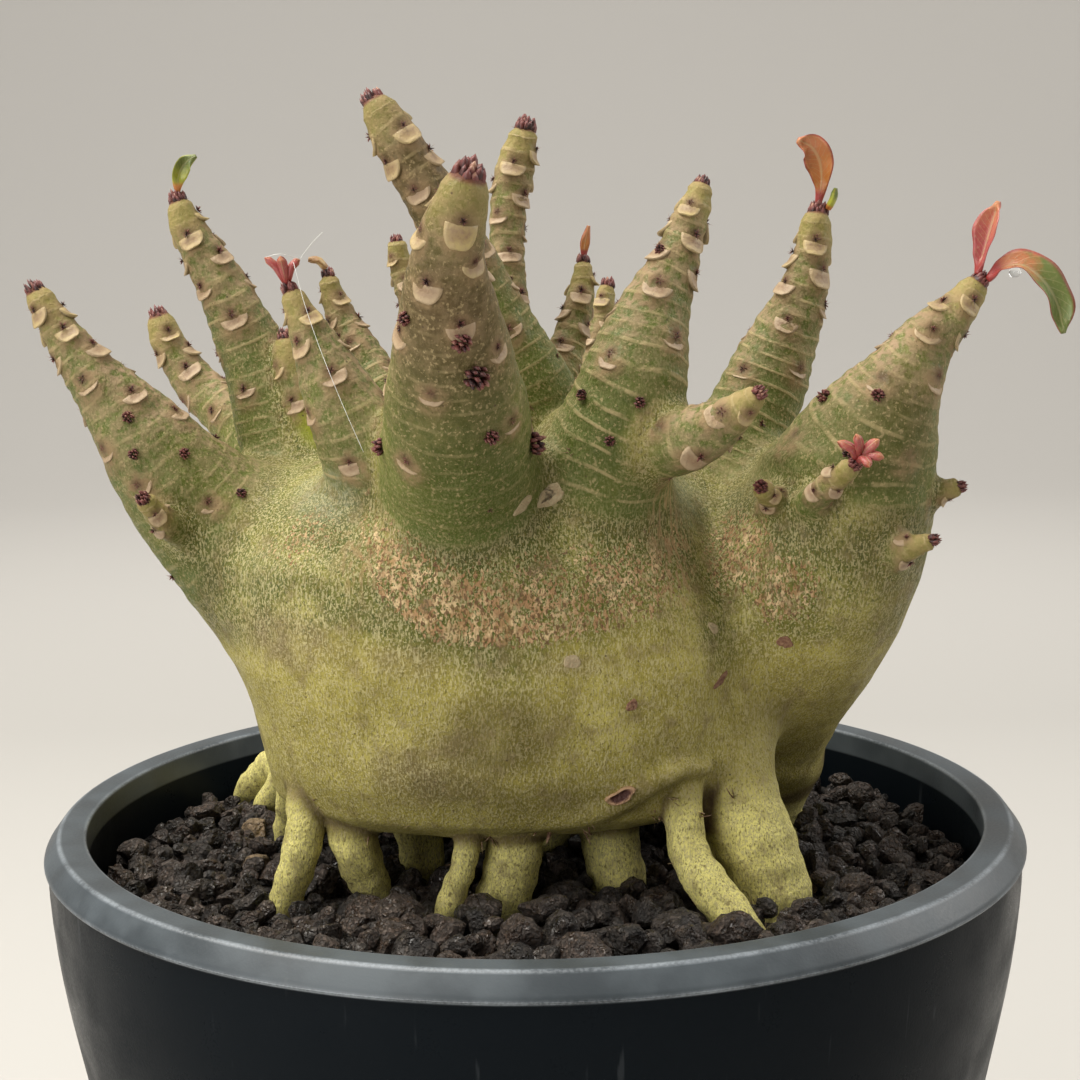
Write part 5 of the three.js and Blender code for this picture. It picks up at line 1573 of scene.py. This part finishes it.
def leaf_surface(rib, half, face, fold, curl, wave, stations=LEAF_STATIONS):
    """One blade with a keel under its midrib: corners, faces, and shares across and along it."""
    line = smooth_through(rib, stations)
    width = smooth_through(half, stations)[:, 0]
    share = np.linspace(0, 1, stations)
    ahead = unit(np.gradient(line, axis=0))
    side = unit(np.cross(np.array(face, dtype=float), ahead))
    front = unit(np.cross(ahead, side))
    across = np.linspace(-1, 1, LEAF_COLUMNS)
    bend = math.radians(fold)
    blade_share = np.clip((width - 0.75) / 0.8, 0, 1)
    rings = []
    shares = []
    for column in list(range(LEAF_COLUMNS)) + list(range(LEAF_COLUMNS - 1, -1, -1)):
        over = across[column]
        top = len(shares) < LEAF_COLUMNS
        folded = abs(over) * math.sin(bend) + curl * abs(over) ** 3
        ripple = wave * over**2 * np.sin(share * 23 + 1.3 * np.sign(over))
        thick = np.maximum(0.16, (0.5 - 0.3 * share) * (1 - abs(over)) ** 2)
        stalk_round = np.sqrt(max(1 - over * over, 0)) * width * 0.9
        stalk_lift = stalk_round if top else -stalk_round
        lift = blade_share * width * (folded + ripple) + (1 - blade_share) * stalk_lift
        drop = 0 if top else blade_share * thick
        sideways = width * over * math.cos(bend * 0.8)
        rings.append(line + side * sideways[:, None] + front * (lift - drop)[:, None])
        shares.append(over)
    sides = len(rings)
    corners = np.stack(rings, axis=1).reshape(-1, 3)
    here = np.arange(sides)
    caps = np.stack([here[::-1], (stations - 1) * sides + here])
    values = np.stack([np.tile(shares, stations), np.repeat(share, sides)], axis=1)
    return corners, (ring_faces(stations, sides), caps), values


PINK = (0.37, 0.075, 0.075, 1)
SALMON = (0.50, 0.19, 0.085, 1)
ORANGE = (0.50, 0.18, 0.045, 1)
YELLOW_GREEN = (0.40, 0.42, 0.05, 1)
FRESH_GREEN = (0.15, 0.19, 0.05, 1)
STALK_RED = (0.33, 0.045, 0.04, 1)
DRIED = (0.36, 0.20, 0.09, 1)
STRAW = (0.52, 0.36, 0.17, 1)
VEIN_COUNT = 13.0


def leaf_material(name, near, far, margin, stalk, turn=(0.35, 0.75)):
    """A young leaf: one colour runs into another along it, with pale veins and a tinted edge."""
    blade = Finish(name, 0.42, ground=near)
    across = blade.count("ABSOLUTE", "across")
    patchy = blade.use(mottle, Size=2.6, Low=0.3, High=0.7)
    speckle = blade.use(mottle, Size=0.5, Detail=2.0, Shift=3.0, Low=0.5, High=0.68)
    reach = blade.count("ADD", "along", blade.scaled(patchy, 0.2, -0.1))
    blade.lay(far, blade.step(reach, turn[0], turn[1]))
    rib_wave = blade.product(blade.scaled(across, -0.16, "along"), VEIN_COUNT * 2 * math.pi)
    side_veins = blade.product(
        blade.step(blade.count("COSINE", rib_wave), 0.8, 1.0), blade.step(across, 0.95, 0.5), 0.45)
    midrib = blade.product(blade.step(across, 0.14, 0.03), 0.8)
    veins = blade.count("MAXIMUM", side_veins, midrib)
    blade.lay(blade.mixed(blade.colour, FIBRE, 0.45), veins)
    blade.lay(margin, blade.step(across, 0.8, 0.97), 0.8)
    blade.lay(CREAM, speckle, 0.2)
    blade.lay(stalk, blade.step("along", 0.26, 0.12))
    blade.bump(blade.scaled(veins, -0.6, blade.product(speckle, 0.2)), 0.6, 0.15)
    blade.link("Roughness", blade.scaled(patchy, 0.15, 0.32))
    blade.shader.inputs["Subsurface Weight"].default_value = 0.25
    blade.shader.inputs["Subsurface Radius"].default_value = (1.0 * MM, 0.6 * MM, 0.3 * MM)
    return blade


leaf_finishes = {
    "leaf_green": leaf_material("young_green_leaf", YELLOW_GREEN, FRESH_GREEN, YELLOW_GREEN, ORANGE),
    "leaf_orange": leaf_material("orange_leaf", ORANGE, SALMON, STALK_RED, STALK_RED),
    "leaf_red": leaf_material("pink_leaf", PINK, SALMON, PINK, STALK_RED, turn=(0.45, 1.1)),
    "leaf_mixed": leaf_material("turning_leaf", SALMON, FRESH_GREEN, PINK, STALK_RED, turn=(0.3, 0.55)),
    "leaf_dry": leaf_material("dried_leaf", STRAW, DRIED, DRIED, DRIED),
}
for node_name, shape in LEAVES.items():
    slot = shape.pop("slot")
    leaf = many_as_one(node_name + "_blade", [leaf_surface(**shape)], "across", "along")
    leaf_finishes[slot].give_to(leaf)
    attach(leaf, "root")
    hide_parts(node_name)


# ---------------------------------------------------------------- opening tufts
# Two buds have just opened into little stars of salmon leaflets round a dark red heart. The
# leaflets are fused at their feet.
TUFTS = {
    "tuft_front_left": dict(seat=(-40.8, -26.1, 229.2), foot=0.9, half=1.1,
                            tips=[(-44.2, -26.4, 232.8), (-41.4, -27.8, 233), (-38.4, -25.6, 232.4)]),
    "tuft_far_right_stub": dict(seat=(54.6, -37.7, 199), foot=1.1, half=1.2,
                                tips=[(50.7, -38.6, 201.6), (53.6, -39.6, 202.9), (57.6, -38.8, 201.9),
                                      (58.3, -39.4, 198.9), (55.6, -41.2, 197.6)]),
}
LEAFLET_STATIONS = 16
TUFT_SINK = 1.5             # the leaflets start this far down in the bud
for node_name, tuft in TUFTS.items():
    seat = np.array(tuft["seat"])
    heart = np.mean(np.array(tuft["tips"]), axis=0) - seat
    half = (0.35 * tuft["foot"], 0.8 * tuft["half"], 0.75 * tuft["half"], 0.15)
    leaflets = []
    for tip in tuft["tips"]:
        reach = np.array(tip) - seat
        rib = [seat - TUFT_SINK * unit(heart), seat + 0.35 * reach + 0.12 * heart,
               seat + 0.75 * reach + 0.1 * heart, tip]
        leaflets.append(leaf_surface(rib, half, heart - 0.2 * reach, 24, 0.2, 0.05, LEAFLET_STATIONS))
    star = many_as_one(node_name + "_star", leaflets, "across", "along")
    leaf_finishes["leaf_red"].give_to(star)
    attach(star, "root")
    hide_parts(node_name)


# ---------------------------------------------------------------- drop and silk
# A rain drop hangs under the arched leaf, and a few strands of spider silk run from the opening
# tuft down the shoot.
DROP_SEAT = (83.6, -21.4, 229.7)
DROP_PROFILE = [(0, -2.1), (0.55, -2.02), (0.95, -1.6), (1.05, -1.15), (0.9, -0.6), (0.55, -0.15), (0, 0.05)]
DROP_SIDES = 28
WATER_CLEAR = (0.97, 0.99, 1.0, 1)
drop_outline = centreline([(radius, height, 0) for radius, height in DROP_PROFILE], 4)[:, :2]
drop_corners, drop_faces = turned(drop_outline, DROP_SIDES)
drop = surface_piece("water_drop", drop_corners + DROP_SEAT, drop_faces)
water = Finish("rain_water", 0.03)
water.shader.inputs["Base Color"].default_value = WATER_CLEAR
water.shader.inputs["Transmission Weight"].default_value = 1.0
water.shader.inputs["IOR"].default_value = 1.33
water.give_to(drop)
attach(drop, "root")

SILK_STRANDS = [
    [(-39.3, -27.2, 232.0), (-37.4, -29.2, 225.0), (-34.6, -31.4, 217.0), (-31.0, -33.2, 208.0),
     (-27.8, -34.2, 200.5)],
    [(-44.0, -26.6, 232.9), (-41.5, -27.6, 233.4), (-38.3, -25.8, 232.6)],
    [(-38.5, -25.7, 232.3), (-36.4, -25.4, 235.0), (-34.5, -24.8, 236.9)],
]
SILK_RADIUS = 0.045
SILK_SIDES = 5
SILK_PALE = (0.75, 0.75, 0.72, 1)
SILK_DEW = (0.95, 0.95, 0.93, 1)
corner_turn = np.arange(SILK_SIDES) * 2 * math.pi / SILK_SIDES
strands = []
for knots in SILK_STRANDS:
    strand = centreline([knot + (SILK_RADIUS,) for knot in knots], 8)[:, :3]
    side, other = cross_ways(unit(np.gradient(strand, axis=0)), (0.2, 0.9, 0.3))
    rings = strand[:, None] + SILK_RADIUS * (np.cos(corner_turn)[:, None] * side[:, None]
                                             + np.sin(corner_turn)[:, None] * other[:, None])
    here = np.arange(SILK_SIDES)
    ends = np.stack([here[::-1], here + SILK_SIDES * (len(strand) - 1)])
    tube = ring_faces(len(strand), SILK_SIDES)
    strands.append((rings.reshape(-1, 3), (tube, ends), np.zeros((rings.size // 3, 1))))
silk = many_as_one("silk_strands", strands)
spider_silk = Finish("spider_silk", 0.3, ground=SILK_PALE)
spider_silk.lay(SILK_DEW, spider_silk.use(mottle, Size=1.2, Low=0.5, High=0.7))
spider_silk.give_to(silk)
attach(silk, "root")
